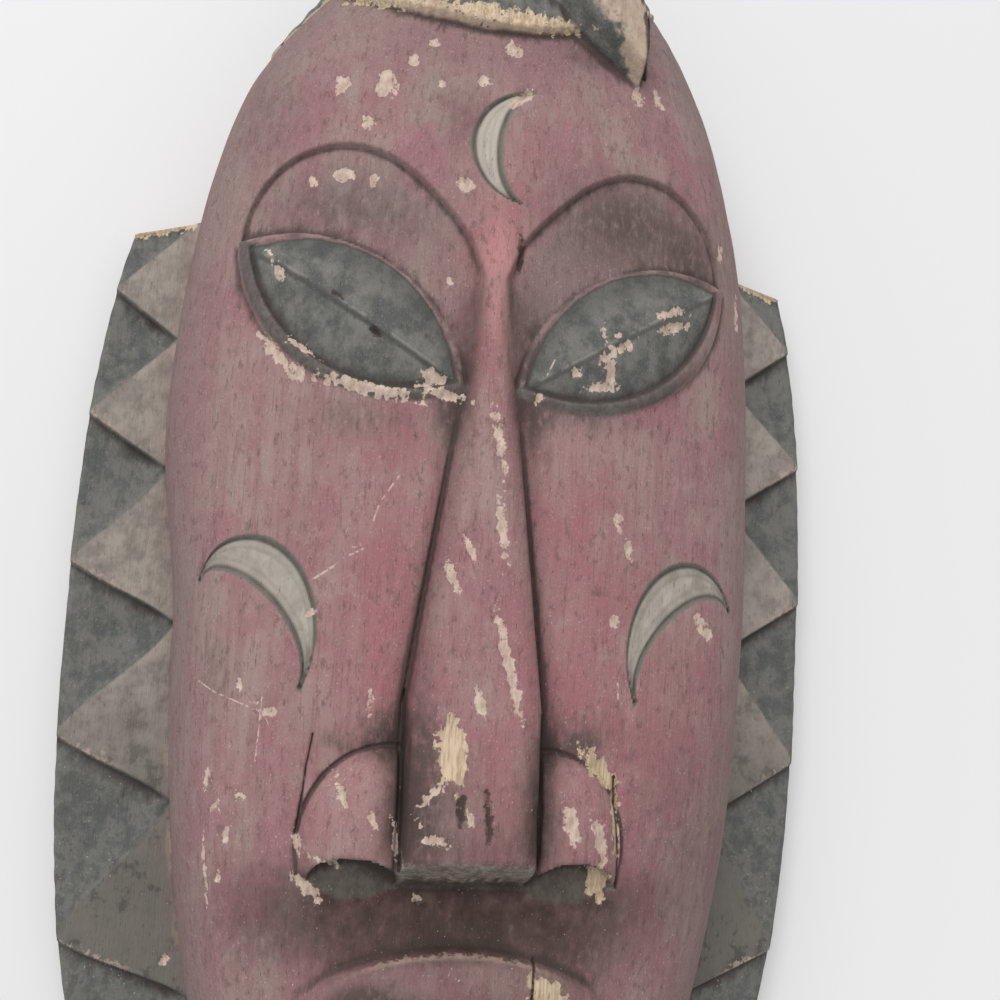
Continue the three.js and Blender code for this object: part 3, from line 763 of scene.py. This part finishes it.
def collar_solid():
    """A plate from inside the head to the collar's edge, with the triangles cut into it."""
    along = np.linspace(-edge.length, edge.length, int(2 * edge.length / STEP))
    outer = edge.at(edge.length - np.abs(along))
    nick = 0.15 * waves(along, 0 * along, 21, 9, 9) - 0.1
    outer[:, 0] += nick * ease(BOTTOM, BOTTOM + 60, outer[:, 1])
    share = (outer[:, 1] - BOTTOM) / (COLLAR_TOP - BOTTOM)
    inner_x = float(head_half(np.array(COLLAR_TOP), -8))
    inner_top = COLLAR_TOP + END_SLANT * (edge.x[0] - inner_x)
    inner_y = mix(CHIN + 8, inner_top, share)
    inner = np.stack([np.maximum(head_half(inner_y, -8), 0), inner_y], -1)
    inner[:, 0] = np.minimum(inner[:, 0], mix(inner[:, 0], inner_x, ease(0.9, 1, share)))
    side = np.sign(along)
    outer[:, 0] *= side
    inner[:, 0] *= side
    rows = int(46 / STEP)
    r = np.linspace(0, 1, rows)[:, None, None]
    flat = mix(inner[None], outer[None], r)
    x, y = flat[..., 0], flat[..., 1]
    rim = np.repeat((1 - r[..., 0]) * 30, x.shape[1], 1)
    z = collar_height(x, y, rim)
    x = lean(x, y)
    top = np.stack([x, y, z], -1)
    low = np.stack([x, y, np.zeros_like(z)], -1)
    return between("collar", top, low)


def scallops(x, y, seed, size):
    """Squared distance to the nearest of scattered spots, for the shallow cuts of an adze."""
    rng = np.random.default_rng(seed)
    jitter = rng.uniform(0.1, 0.9, (97, 97, 2))
    gx, gy = np.floor(x / size).astype(int), np.floor(y / (1.6 * size)).astype(int)
    best = np.full(x.shape, 9.0)
    for i in (-1, 0, 1):
        for j in (-1, 0, 1):
            spot = jitter[(gx + i) % 97, (gy + j) % 97]
            dx = x / size - gx - i - spot[..., 0]
            dy = y / (1.6 * size) - gy - j - spot[..., 1]
            best = np.minimum(best, dx * dx + dy * dy)
    return best


def hollow_solid():
    ys = row_places(CHIN + WALL, CROWN - WALL, STEP * 2.4)
    columns = int(210 / STEP / 2.2)
    x, y, z = section_grid(
        ys, columns, lambda v: head_half(v, -WALL), hollow_height, lambda v: HOLLOW_POWER
    )
    cut = (scallops(x, y, 8, 11.0) - 0.35) * 1.3 * ease(2, 9, z)
    top = np.stack([lean(x, y), y, z - cut], -1)
    top[[0, -1], :, 0] = 0
    low = top.copy()
    low[..., 2] = -12
    return between("hollow", top, low)


def combine(target, other, operation):
    join = target.modifiers.new("join", "BOOLEAN")
    join.operation, join.object, join.solver = operation, other, "MANIFOLD"
    settle(target)
    bpy.data.objects.remove(other)


def settle(thing):
    """Makes a piece's modifiers part of its mesh."""
    graph = bpy.context.evaluated_depsgraph_get()
    made = bpy.data.meshes.new_from_object(thing.evaluated_get(graph))
    thing.modifiers.clear()
    thing.data = made


# Where each kind of surface lies, kept on the vertices


def blurred(heights, reach):
    """A height map averaged over squares of that many steps to each side, twice over."""
    for _ in range(2):
        for axis in (0, 1):
            edges = [(0, 0), (0, 0)]
            edges[axis] = (reach + 1, reach)
            total = np.cumsum(np.pad(heights, edges, mode="edge"), axis)
            count = heights.shape[axis]
            high = np.take(total, range(2 * reach + 1, 2 * reach + 1 + count), axis)
            heights = (high - np.take(total, range(count), axis)) / (2 * reach + 1)
    return heights


class Front:
    """Maps of how sunk and how raised each place of the front is."""

    def __init__(self, step=0.5):
        self.step = step
        self.x = np.arange(-COLLAR_HALF - 3, COLLAR_HALF + 3, step)
        self.y = np.arange(BOTTOM - 3, CROWN + 3, step)
        x, y = np.meshgrid(self.x, self.y)
        half = np.maximum(head_half(y), 1e-3)
        near = np.clip(x, -half + 1, half - 1)
        skin = carve(near, y, head_height(near, y))
        skin = skin + lift(x, y, skin, 1.0)
        collar = collar_height(x, y, np.full(x.shape, 9.0))
        on_head = np.abs(x) < half - 0.3
        sunk, raised = zip(*(self.compare(part) for part in (skin, collar)))
        self.sunk = np.where(on_head, *sunk)
        self.raised = np.where(on_head, *raised)

    def compare(self, part):
        """How far each place is below and above its surroundings."""
        fine = blurred(part, int(1.5 / self.step)) - part
        broad = blurred(part, int(5 / self.step)) - part
        return clamp(fine / 0.7) * 0.7 + clamp(broad / 3.5) * 0.5, clamp(-fine / 0.7)

    def look(self, table, x, y):
        i = np.clip((x - self.x[0]) / self.step, 0, len(self.x) - 1.001)
        j = np.clip((y - self.y[0]) / self.step, 0, len(self.y) - 1.001)
        a, b = i.astype(int), j.astype(int)
        u, v = i - a, j - b
        low = mix(table[b, a], table[b, a + 1], u)
        high = mix(table[b + 1, a], table[b + 1, a + 1], u)
        return mix(low, high, v)


def tones(x, y):
    """How far the paint is redder, with a painted highlight; duller, with painted shade; in painted
    shade mixed with dirt; and stained, partly painted shade.
    """
    ax = np.abs(x)
    ratio, _, _ = socket_ratio(x, y)
    off_nose = nose_edge(x, y)
    oval = mouth_edge(x, y)
    across = ax / np.maximum(head_half(y), 1e-3)
    # redder paint near the nose and on the bridge, and a painted highlight on the cheeks beside the
    # nose, on the bridge and on the nose's right side
    redder_and_highlight = blob(ax, y, 24, 52, 15, 60) + 1.5 * blob(x, y, 0, 150, 9, 32)
    redder_and_highlight = redder_and_highlight + 0.8 * blob(x, y, 6, 20, 6, 22) + 0.6 * blob(x, y, 52, 35, 16, 30)
    # greyer towards the face's edges, top and bottom, and painted shade in the sockets, heavier in
    # the right one
    dull_and_shade = ease(0.72, 1.0, across) + (0.9 + 0.25 * np.sign(x)) * ease(1.05, 0.75, ratio)
    dull_and_shade = dull_and_shade + 0.75 * ease(185, 230, y) + 0.45 * ease(-20, -60, y)
    # painted shade with dirt under the nose and round the mouth, along the nose's sides, by the
    # inner eye corners, over the nostrils and low on the right
    shade_and_dirt = ease(-1, -6, y) * ease(1.35, 0.55, np.hypot(x / 52, (y + 14) / 19)) * ease(-4, 2, oval)
    shade_and_dirt += 0.3 * ease(40, 4, y) * ease(1.6, 1.0, ax / nose_half(y)) * ease(-8, 0, y)
    shade_and_dirt += 0.25 * ease(6, -6, oval) + 0.2 * ease(40, 80, x) * ease(60, 0, y)
    shade_and_dirt += 0.45 * ease(6, 0.5, np.abs(off_nose)) * ease(150, 110, y) * ease(-2, 4, y)
    shade_and_dirt += 0.55 * ease(6, 1, np.abs(off_nose - 1.5)) * ease(100, 116, y) * ease(154, 136, y)
    shade_and_dirt += 0.9 * blob(ax, y, 18, 27, 5, 5) * (off_nose > -1) + 0.6 * blob(ax, y, 17, 10, 4, 14)
    # stains, with painted shade among them in creases, sockets, eye corners and under the nose
    stain_and_shade = np.zeros_like(x)
    for mid_x, mid_y, half_wide, half_tall, strength in DIRT_AND_SHADE_SPOTS.values():
        stain_and_shade += strength * blob(x, y, mid_x, mid_y, half_wide, half_tall)
    return {"redder_and_highlight": redder_and_highlight, "dull_and_shade": dull_and_shade, "shade_and_dirt": shade_and_dirt, "stain_and_shade": stain_and_shade}


def edge_wear(x, y, z):
    """Dirt and painted shade in what is sunk and in the corner where the head meets the collar, and
    rubbing of the collar, of its joint with the head and of other edges.
    """
    ax = np.abs(x)
    half = np.maximum(head_half(y), 1e-3)
    end = COLLAR_TOP + END_SLANT * (edge.x[0] - ax) - y
    on_collar = np.minimum(np.minimum(ax - half, 2 * (COLLAR_THICK + 1 - z)), end + 0.7)
    from_joint = np.hypot(ax - half, z - COLLAR_THICK)
    front = Front()
    sunk = front.look(front.sunk, x, y) * np.where(on_collar > 0, 1.0, ease(0.5, 4, half - ax))
    # dirt and painted shade in the corner where the head meets the collar
    joint_grime_and_shade = 0.5 * ease(2.4, 0.3, from_joint) * (y < COLLAR_TOP)
    rub = ease(8, 20, ax - half + 4 * waves(x, y, 71, 12, 12)) * (on_collar > 0)
    lip_rim = ease(1.5, 0.4, np.abs(mouth_edge(x, y) + 0.2)) * ease(30, 15, ax)
    bare_end = np.maximum(end - 1.6 + 0.9 * waves(x, y, 73, 5, 5), -1.5 - end)
    bare_end = np.where((ax > half + 0.5) & (y > 120), bare_end, 9.0)
    right_side = ease(5, 1.5, half - x) * ease(18, 26, z) * ease(172, 160, y) * ease(70, 110, y)
    joint = ease(2.6, 0.6, from_joint) * ease(175, 160, y) + 0.9 * right_side
    return {
        "collar": np.minimum(on_collar, 12),
        "from_head": np.minimum(ax - half, 12),
        "sunk": sunk + joint_grime_and_shade,
        "raised": front.look(front.raised, x, y),
        "rub": np.maximum(rub, 0.8 * lip_rim),
        "bare": np.minimum(patch_edge(x, y, BARE, BARE_SEED), bare_end),
        "joint": joint * ease(0.1, 0.6, waves(0 * x, y, 75, 9, 17) + 0.3),
    }


def zones(x, y, z):
    """Signed distances and shares that the paint is laid by, for each vertex."""
    x = straight(x, y)
    s, t = eye_place(x, y)
    lid = lid_edge(s, t)
    eye = lens(s, t, EYE_LONG, EYE_WIDE)
    across = t / np.maximum(1.0, EYE_WIDE * (1 - (s / EYE_LONG) ** 2))
    _, socket, _ = socket_ratio(x, y)
    cut, _, low_side = notch_cut(x, y)
    lock, _, off = lock_edge(x, y)
    nostril = (nostril_share(x, y) - 1) * 8
    ax = np.abs(x)
    under = np.maximum(np.abs(z - underside_height(y)) - 1.2, np.maximum(ax - 40, 56 - z))
    under = np.minimum(under, np.maximum(nostril, ax - 41) + 1.2 * ease(-5, -12, y))
    crack_side, crack_out = line_place(x, y, CRACKS)
    scratch_side, scratch_out = line_place(x, y, SCRATCHES)
    hollow = np.where(ax < head_half(y, -WALL) + 2, hollow_height(x, y) + 3 - z, -9)
    return {
        **tones(x, y),
        **edge_wear(x, y, z),
        "low_side": low_side,
        "pit": patch_edge(x, y, PITS, PIT_SEED),
        "flake": patch_edge(x, y, FLAKES, FLAKE_SEED),
        "slate": np.minimum(eye, np.maximum(lid, t - 1.0)),
        "eye": eye,
        "across": clamp(across, -1.5, 1.5),
        "slit": np.where(np.abs(s) < EYE_LONG - 1, t + 0.35 * waves(s, 0 * s, 77, 9, 9), 9.0),
        "fading": ease(0, 26, s) * (x > 0),
        "socket": socket,
        "moon": moon_edge(x, y),
        "notch": cut,
        "hair": np.minimum(hair_edge(x, y), 12),
        "lock": np.minimum(lock, 12),
        "lock_side": off,
        "under": under,
        "nostril": nostril,
        "raw": np.maximum(ease(0, 2, hollow), ease(0.9, 0.1, z)),
        "crack": crack_side,
        "crack_out": crack_out,
        "scratch": scratch_side,
        "scratch_out": scratch_out,
    }


# Looks


def paint(red, green, blue):
    """A colour given as it would be read off a screen, as light values."""
    levels = [v / 255 for v in (red, green, blue)]
    return [v / 12.92 if v < 0.04045 else ((v + 0.055) / 1.055) ** 2.4 for v in levels] + [1.0]


class Look:
    """A material built up from short steps."""

    def __init__(self, name):
        self.material = bpy.data.materials.new(name)
        self.material.use_nodes = True
        self.tree = self.material.node_tree
        self.shader = self.tree.nodes["Principled BSDF"]
        self.place = self.add("ShaderNodeTexCoord").outputs["Object"]

    def add(self, kind, inputs=(), **settings):
        made = self.tree.nodes.new(kind)
        for name, value in settings.items():
            setattr(made, name, value)
        for socket, value in inputs:
            if isinstance(value, bpy.types.NodeSocket):
                self.tree.links.new(value, made.inputs[socket])
            else:
                made.inputs[socket].default_value = value
        return made

    def zone(self, name):
        return self.add("ShaderNodeAttribute", attribute_name=name).outputs["Fac"]

    def math(self, operation, a, b=0.0, c=0.0):
        inputs = ((0, a), (1, b), (2, c))
        return self.add("ShaderNodeMath", inputs, operation=operation).outputs[0]

    def plus(self, a, b):
        return self.math("ADD", a, b)

    def times(self, a, b):
        return self.math("MULTIPLY", a, b)

    def least(self, a, b):
        return self.math("MINIMUM", a, b)

    def ramp(self, low, high, value):
        inputs = (("Value", value), ("From Min", low), ("From Max", high))
        return self.add("ShaderNodeMapRange", inputs, interpolation_type="SMOOTHSTEP").outputs[0]

    def mix(self, share, a, b):
        inputs = ((0, share), (6, a), (7, b))
        return self.add("ShaderNodeMix", inputs, data_type="RGBA").outputs[2]

    def tint(self, colour, share, where, *levels):
        """Lays a paint of those levels over a colour, in that strength, where it belongs."""
        return self.mix(self.times(where, share), colour, paint(*levels))

    def band(self, far, near, place):
        """From 0 to 1 as a place comes from far to near a line, on either side of it."""
        return self.ramp(far, near, self.math("ABSOLUTE", place))

    def swing(self, noise, reach):
        """Noise as a shift to both sides of nothing."""
        return self.times(self.plus(noise, -0.5), reach)

    def height(self):
        """Height up the face in millimetres from the lower edge of the nose."""
        up = self.add("ShaderNodeSeparateXYZ", ((0, self.place),)).outputs["Y"]
        return self.math("MULTIPLY_ADD", up, 1000.0, -NOSE_TIP_Y)

    def noise(self, sizes, detail, roughness, shift=0.0):
        """Noise with bumps of those sizes in millimetres along x, y and z."""
        scale = [1000 / v for v in sizes]
        inputs = (("Vector", self.place), ("Scale", scale), ("Location", (shift, shift, shift)))
        place = self.add("ShaderNodeMapping", inputs).outputs[0]
        inputs = (("Vector", place), ("Scale", 1.0), ("Detail", detail), ("Roughness", roughness))
        return self.add("ShaderNodeTexNoise", inputs).outputs[0]


def wood_look():
    look = Look("painted_wood")
    zone, noise, ramp, band = look.zone, look.noise, look.ramp, look.band
    mix, tint, swing = look.mix, look.tint, look.swing
    times, plus, least = look.times, look.plus, look.least

    fibre = noise((0.6, 11, 0.6), 2, 0.6)
    streak = noise((2.6, 50, 2.6), 2, 0.65, 3.1)
    patch = noise((15, 26, 15), 3, 0.65, 7.7)
    mottle = noise((1.9, 3.8, 1.9), 3, 0.7, 1.3)
    speckle = noise((0.45, 0.6, 0.45), 0, 0.6, 9.2)
    smudge = noise((6, 7, 6), 3, 0.7, 12.4)
    ragged = noise((1.5, 1.7, 1.5), 2, 0.6, 17.3)
    cloudy, spotted = ramp(0.35, 0.65, smudge), ramp(0.52, 0.72, mottle)
    height = look.height()

    # worn maroon paint, greyer at the edges of the face, with a painted highlight near the nose and
    # painted shade in the sockets, creases and under the nose
    redder_and_highlight = zone("redder_and_highlight")
    face = mix(ramp(0.38, 0.62, patch), paint(153, 130, 125), paint(150, 108, 112))
    face = tint(face, 0.5, ramp(0.4, 0.65, streak), 138, 103, 104)
    # redder near the nose, then a paler pink there as a painted highlight
    face = tint(face, 0.5, least(redder_and_highlight, 1.0), 162, 100, 106)
    face = tint(face, 0.6, ramp(0.9, 1.6, redder_and_highlight), 206, 144, 145)
    face = tint(face, 0.45, ramp(0.5, 0.72, smudge), 164, 136, 134)
    # greyer at the face's edges, and painted shade in the sockets
    face = tint(face, 0.6, least(zone("dull_and_shade"), 1.15), 120, 105, 101)
    face = tint(face, 0.6, spotted, 102, 80, 77)
    face = tint(face, 0.35, ramp(0.6, 0.85, speckle), 188, 160, 154)
    face = tint(face, 0.3, ramp(0.57, 0.7, fibre), 96, 72, 70)
    # stains, partly painted shade in creases, sockets and eye corners
    stain_and_shade_share = times(least(zone("stain_and_shade"), 1.0), ramp(0.2, 0.55, mottle))
    face = tint(face, 0.85, stain_and_shade_share, 82, 70, 65)
    # painted shade mixed with dirt under the nose, along its sides and by the inner eye corners
    uneven = plus(times(smudge, 1.3), 0.2)
    face = tint(face, uneven, least(zone("shade_and_dirt"), 1.1), 68, 52, 48)

    # slate grey of the eyes, of the hair and of the cut triangles
    slate = mix(cloudy, paint(84, 86, 83), paint(116, 114, 109))
    slate = tint(slate, 0.5, spotted, 66, 68, 65)
    slate = tint(slate, 0.3, ramp(0.62, 0.85, speckle), 152, 148, 138)

    # eyes, with painted shade over their upper half and along their lower edge, a painted highlight
    # on the ridge, painted shade in the groove under it along the closed slit, and painted shade in
    # the groove round the eye
    eye_edge, slit = zone("eye"), zone("slit")
    upper = ramp(0.3, 1.0, zone("across"))
    # painted shade over the upper half of the eye and along its lower edge
    eye = tint(slate, 0.5, upper, 64, 64, 61)
    eye = tint(eye, 0.4, ramp(-0.6, -1.0, zone("across")), 68, 68, 65)
    # painted highlight along the ridge
    ridge = times(band(0.6, 0.1, slit), ramp(0.42, 0.58, smudge))
    eye = tint(eye, 0.4, ridge, 150, 146, 137)
    # painted shade in the groove under the ridge
    shade_below_ridge = times(band(0.9, 0.1, plus(slit, 1.1)), ramp(0.35, 0.55, smudge))
    eye = tint(eye, 0.45, shade_below_ridge, 52, 52, 49)
    lid = mix(0.5, mix(ramp(0.35, 0.65, ragged), slate, paint(80, 73, 68)), paint(100, 88, 84))
    lid = mix(times(zone("fading"), 0.8), lid, face)
    eye = mix(ramp(-0.4, 0.4, eye_edge), eye, lid)
    # painted shade in the groove round the eye
    eye = tint(eye, 0.65, band(1.1, 0.2, eye_edge), 54, 50, 47)

    # grey-brown between the triangles
    low = ramp(60, -20, height)
    light = mix(cloudy, paint(160, 151, 142), paint(136, 128, 120))
    light = tint(light, 0.4, ramp(0.5, 0.72, patch), 112, 106, 99)
    light = tint(light, 0.85, low, 98, 95, 89)
    light = tint(light, 0.3, spotted, 98, 90, 84)
    light = tint(light, 0.4, ramp(7, 0, zone("from_head")), 132, 110, 106)
    shade = plus(zone("low_side"), times(plus(mottle, -0.15), 4.0))
    sunk_part = times(ramp(1.0, 0.2, zone("notch")), ramp(-1.3, 1.3, shade))
    collar = mix(sunk_part, light, mix(0.15, slate, paint(100, 104, 101)))
    collar = tint(collar, plus(times(low, 0.5), 0.1), ramp(0.54, 0.66, smudge), 70, 68, 63)

    # crescents, with painted shade inside their sunk edges
    moon = zone("moon")
    pale = mix(cloudy, paint(176, 168, 158), paint(156, 149, 140))
    pale = tint(pale, 0.8, ramp(150, 190, height), 204, 194, 182)
    # painted shade inside the sunk edges of the crescents
    pale = tint(pale, 0.3, ramp(-3.6, -0.8, moon), 104, 101, 92)
    pale = tint(pale, 0.25, band(0.8, 0.1, plus(moon, 2.5)), 98, 95, 86)
    crescent = tint(pale, 0.75, ramp(-1.3, -0.5, moon), 94, 92, 84)

    # hair, worn pale along its edge and on the lock
    hair_in = zone("hair")
    worn_hair = plus(swing(ragged, 5.0), swing(smudge, 12.0))
    worn_hair = ramp(-0.4, 0.4, plus(worn_hair, plus(hair_in, 2.4)))
    hair = mix(worn_hair, slate, mix(mottle, paint(206, 182, 158), paint(150, 130, 114)))
    lock_worn = ramp(-4.5, 0.5, plus(swing(smudge, 22.0), zone("lock_side")))
    lock = mix(lock_worn, slate, mix(mottle, paint(208, 186, 166), paint(140, 122, 108)))

    # dull paint under the nose and in the nostrils, with painted shade deep in the nostrils
    below = mix(ramp(0.35, 0.65, mottle), paint(148, 139, 128), paint(108, 101, 93))
    below = tint(below, 0.5, ramp(0.5, 0.62, smudge), 84, 79, 72)
    below = tint(below, 0.3, ramp(0.6, 0.8, speckle), 166, 156, 145)
    # painted shade in the nostrils
    below = tint(below, 0.75, ramp(1.5, -0.5, zone("nostril")), 76, 70, 64)

    # lay one on the other
    colour = tint(face, 0.35, band(1.5, 0.2, zone("socket")), 96, 84, 78)
    colour = mix(ramp(0.4, -0.6, plus(zone("slate"), swing(mottle, 1.5))), colour, eye)
    over_eye = times(times(ramp(2.2, 1.5, eye_edge), ramp(0.0, 0.5, eye_edge)), upper)
    over_paint = mix(ramp(0.4, 0.6, smudge), paint(88, 78, 76), paint(150, 122, 121))
    colour = mix(times(over_eye, 0.65), colour, over_paint)
    colour = mix(ramp(0.9, 0.3, plus(moon, swing(ragged, 1.2))), colour, crescent)
    colour = mix(ramp(-0.4, 0.3, zone("collar")), colour, collar)
    colour = mix(ramp(0.5, -0.5, hair_in), colour, hair)
    colour = mix(ramp(0.5, -0.3, zone("lock")), colour, lock)
    colour = mix(ramp(1.6, -1.0, plus(zone("under"), swing(smudge, 4.0))), colour, below)

    # dirt and painted shade in what is sunk, and fine dark pores along the grain
    sunk_dirt_and_shade = ramp(0.12, 0.85, plus(zone("sunk"), swing(mottle, 0.5)))
    colour = tint(colour, 0.8, sunk_dirt_and_shade, 58, 48, 43)
    pores = ramp(0.68, 0.76, noise((0.45, 2.4, 0.45), 1, 0.6, 14.0))
    colour = tint(colour, 0.5, pores, 58, 43, 42)

    # rubbed edges, flakes down to the pale ground, and bare wood
    jag = swing(ragged, 3.6)
    wood = mix(ramp(0.35, 0.7, fibre), paint(206, 186, 160), paint(172, 150, 124))
    wood = tint(wood, 0.4, ramp(0.5, 0.7, mottle), 128, 106, 86)
    ground = mix(ramp(0.3, 0.7, mottle), paint(212, 192, 177), paint(176, 152, 139))
    flaked = ramp(0.2, -0.2, plus(zone("flake"), jag))
    stripped = ramp(0.3, -0.3, plus(zone("bare"), times(jag, 1.3)))
    pitted = ramp(0.3, -0.3, plus(zone("pit"), jag))
    worn_edge = times(ramp(0.55, 0.9, plus(zone("raised"), swing(ragged, 1.8))), zone("rub"))
    rubbed = least(plus(worn_edge, times(zone("joint"), ramp(0.4, 0.6, mottle))), 1.0)
    strays = times(ramp(0.71, 0.76, mottle), ramp(0.5, 0.62, smudge))
    rubbed_paint = mix(mottle, paint(206, 182, 164), paint(160, 138, 124))
    colour = mix(times(rubbed, 0.7), colour, rubbed_paint)
    colour = mix(times(strays, 0.7), colour, ground)
    colour = mix(times(flaked, 0.93), colour, ground)
    colour = mix(stripped, colour, wood)
    colour = tint(colour, 0.85, pitted, 64, 52, 46)

    # white dust, more of it low on the face
    dust = times(ramp(0.78, 0.86, speckle), ramp(0.45, 0.6, smudge))
    dust = times(dust, plus(times(ramp(90, -20, height), 0.6), 0.1))
    colour = tint(colour, 0.8, dust, 214, 200, 194)

    # cracks and scratches
    crack = times(band(1.1, 0.5, zone("crack")), ramp(0.9, 0.2, zone("crack_out")))
    colour = tint(colour, 0.85, times(crack, ramp(0.3, 0.42, mottle)), 42, 35, 32)
    scratch = times(band(1.2, 0.6, zone("scratch")), ramp(0.9, 0.2, zone("scratch_out")))
    colour = tint(colour, 0.75, times(scratch, ramp(0.4, 0.56, ragged)), 208, 182, 176)

    # bare dark wood of the back
    raw = mix(ramp(0.3, 0.7, fibre), paint(126, 98, 72), paint(96, 72, 52))
    raw = tint(raw, 0.5, ramp(0.4, 0.7, patch), 78, 60, 46)
    colour = mix(zone("raw"), colour, raw)

    rough = plus(times(mottle, 0.16), 0.66)
    relief = plus(times(fibre, 0.18), times(mottle, 0.22))
    bump = look.add("ShaderNodeBump", (("Strength", 1.0), ("Distance", 0.001), ("Height", relief)))
    look.shader.inputs["Specular IOR Level"].default_value = 0.32
    for socket, value in (("Base Color", colour), ("Roughness", rough), ("Normal", bump.outputs[0])):
        look.tree.links.new(value, look.shader.inputs[socket])
    return look.material


carving = head_solid()
combine(carving, collar_solid(), "UNION")
combine(carving, hollow_solid(), "DIFFERENCE")
thin = carving.modifiers.new("thin", "DECIMATE")
thin.ratio = FACES / len(carving.data.polygons)
settle(carving)
carving.data.polygons.foreach_set("use_smooth", np.ones(len(carving.data.polygons), bool))

places = np.empty(3 * len(carving.data.vertices), np.float32)
carving.data.vertices.foreach_get("co", places)
places = places.reshape(-1, 3).astype(float) * 1000 - np.array([0, NOSE_TIP_Y, 0])
for name, values in zones(*places.T).items():
    kept = carving.data.attributes.new(name, "FLOAT", "POINT")
    kept.data.foreach_set("value", values.astype(np.float32))

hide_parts("mask")
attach(carving, "root")
carving.data.materials.clear()
carving.data.materials.append(wood_look())

# Floor, light and camera

FLOOR_Z = -0.0001  # a hair under the mask's flat back, so the two don't lie in one plane
floor_mesh = bpy.data.meshes.new("floor")
floor_corners = [(x, y, FLOOR_Z) for x, y in ((-3, -3), (3, -3), (3, 3), (-3, 3))]
floor_mesh.from_pydata(floor_corners, [], [(0, 1, 2, 3)])
floor = bpy.data.objects.new("floor", floor_mesh)
bpy.context.collection.objects.link(floor)
floor_look = bpy.data.materials.new("floor")
floor_look.use_nodes = True
floor_shader = floor_look.node_tree.nodes["Principled BSDF"]
floor_shader.inputs["Base Color"].default_value = (0.8, 0.8, 0.81, 1)
floor_mesh.materials.append(floor_look)

world = bpy.data.worlds.new("studio")
bpy.context.scene.world = world
world.use_nodes = True
world.node_tree.nodes["Background"].inputs["Color"].default_value = (1, 1, 1, 1)
world.node_tree.nodes["Background"].inputs["Strength"].default_value = 0.55

sun = bpy.data.lights.new("window", "SUN")
sun.energy, sun.angle = 2.1, math.radians(55)
window = bpy.data.objects.new("window", sun)
window.rotation_mode = "QUATERNION"
window.rotation_quaternion = Vector((0.4, -0.75, -1.0)).to_track_quat("-Z", "Y")
bpy.context.collection.objects.link(window)

YAW, PITCH, ROLL = math.radians(-9.434), math.radians(5.199), math.radians(3.255)
turn = Matrix.Rotation(YAW, 4, "Y") @ Matrix.Rotation(PITCH, 4, "X") @ Matrix.Rotation(ROLL, 4, "Z")
eye_of_camera = Vector((-0.04842, (60.56 + NOSE_TIP_Y) / 1000, 0.38308))
lens_data = bpy.data.cameras.new("camera")
lens_data.lens, lens_data.sensor_width = 45.0, 36.0
lens_data.clip_start, lens_data.clip_end = 0.01, 20
camera = bpy.data.objects.new("camera", lens_data)
camera.matrix_world = Matrix.Translation(eye_of_camera) @ turn
bpy.context.collection.objects.link(camera)
bpy.context.scene.camera = camera
bpy.context.scene.view_settings.view_transform = "Standard"
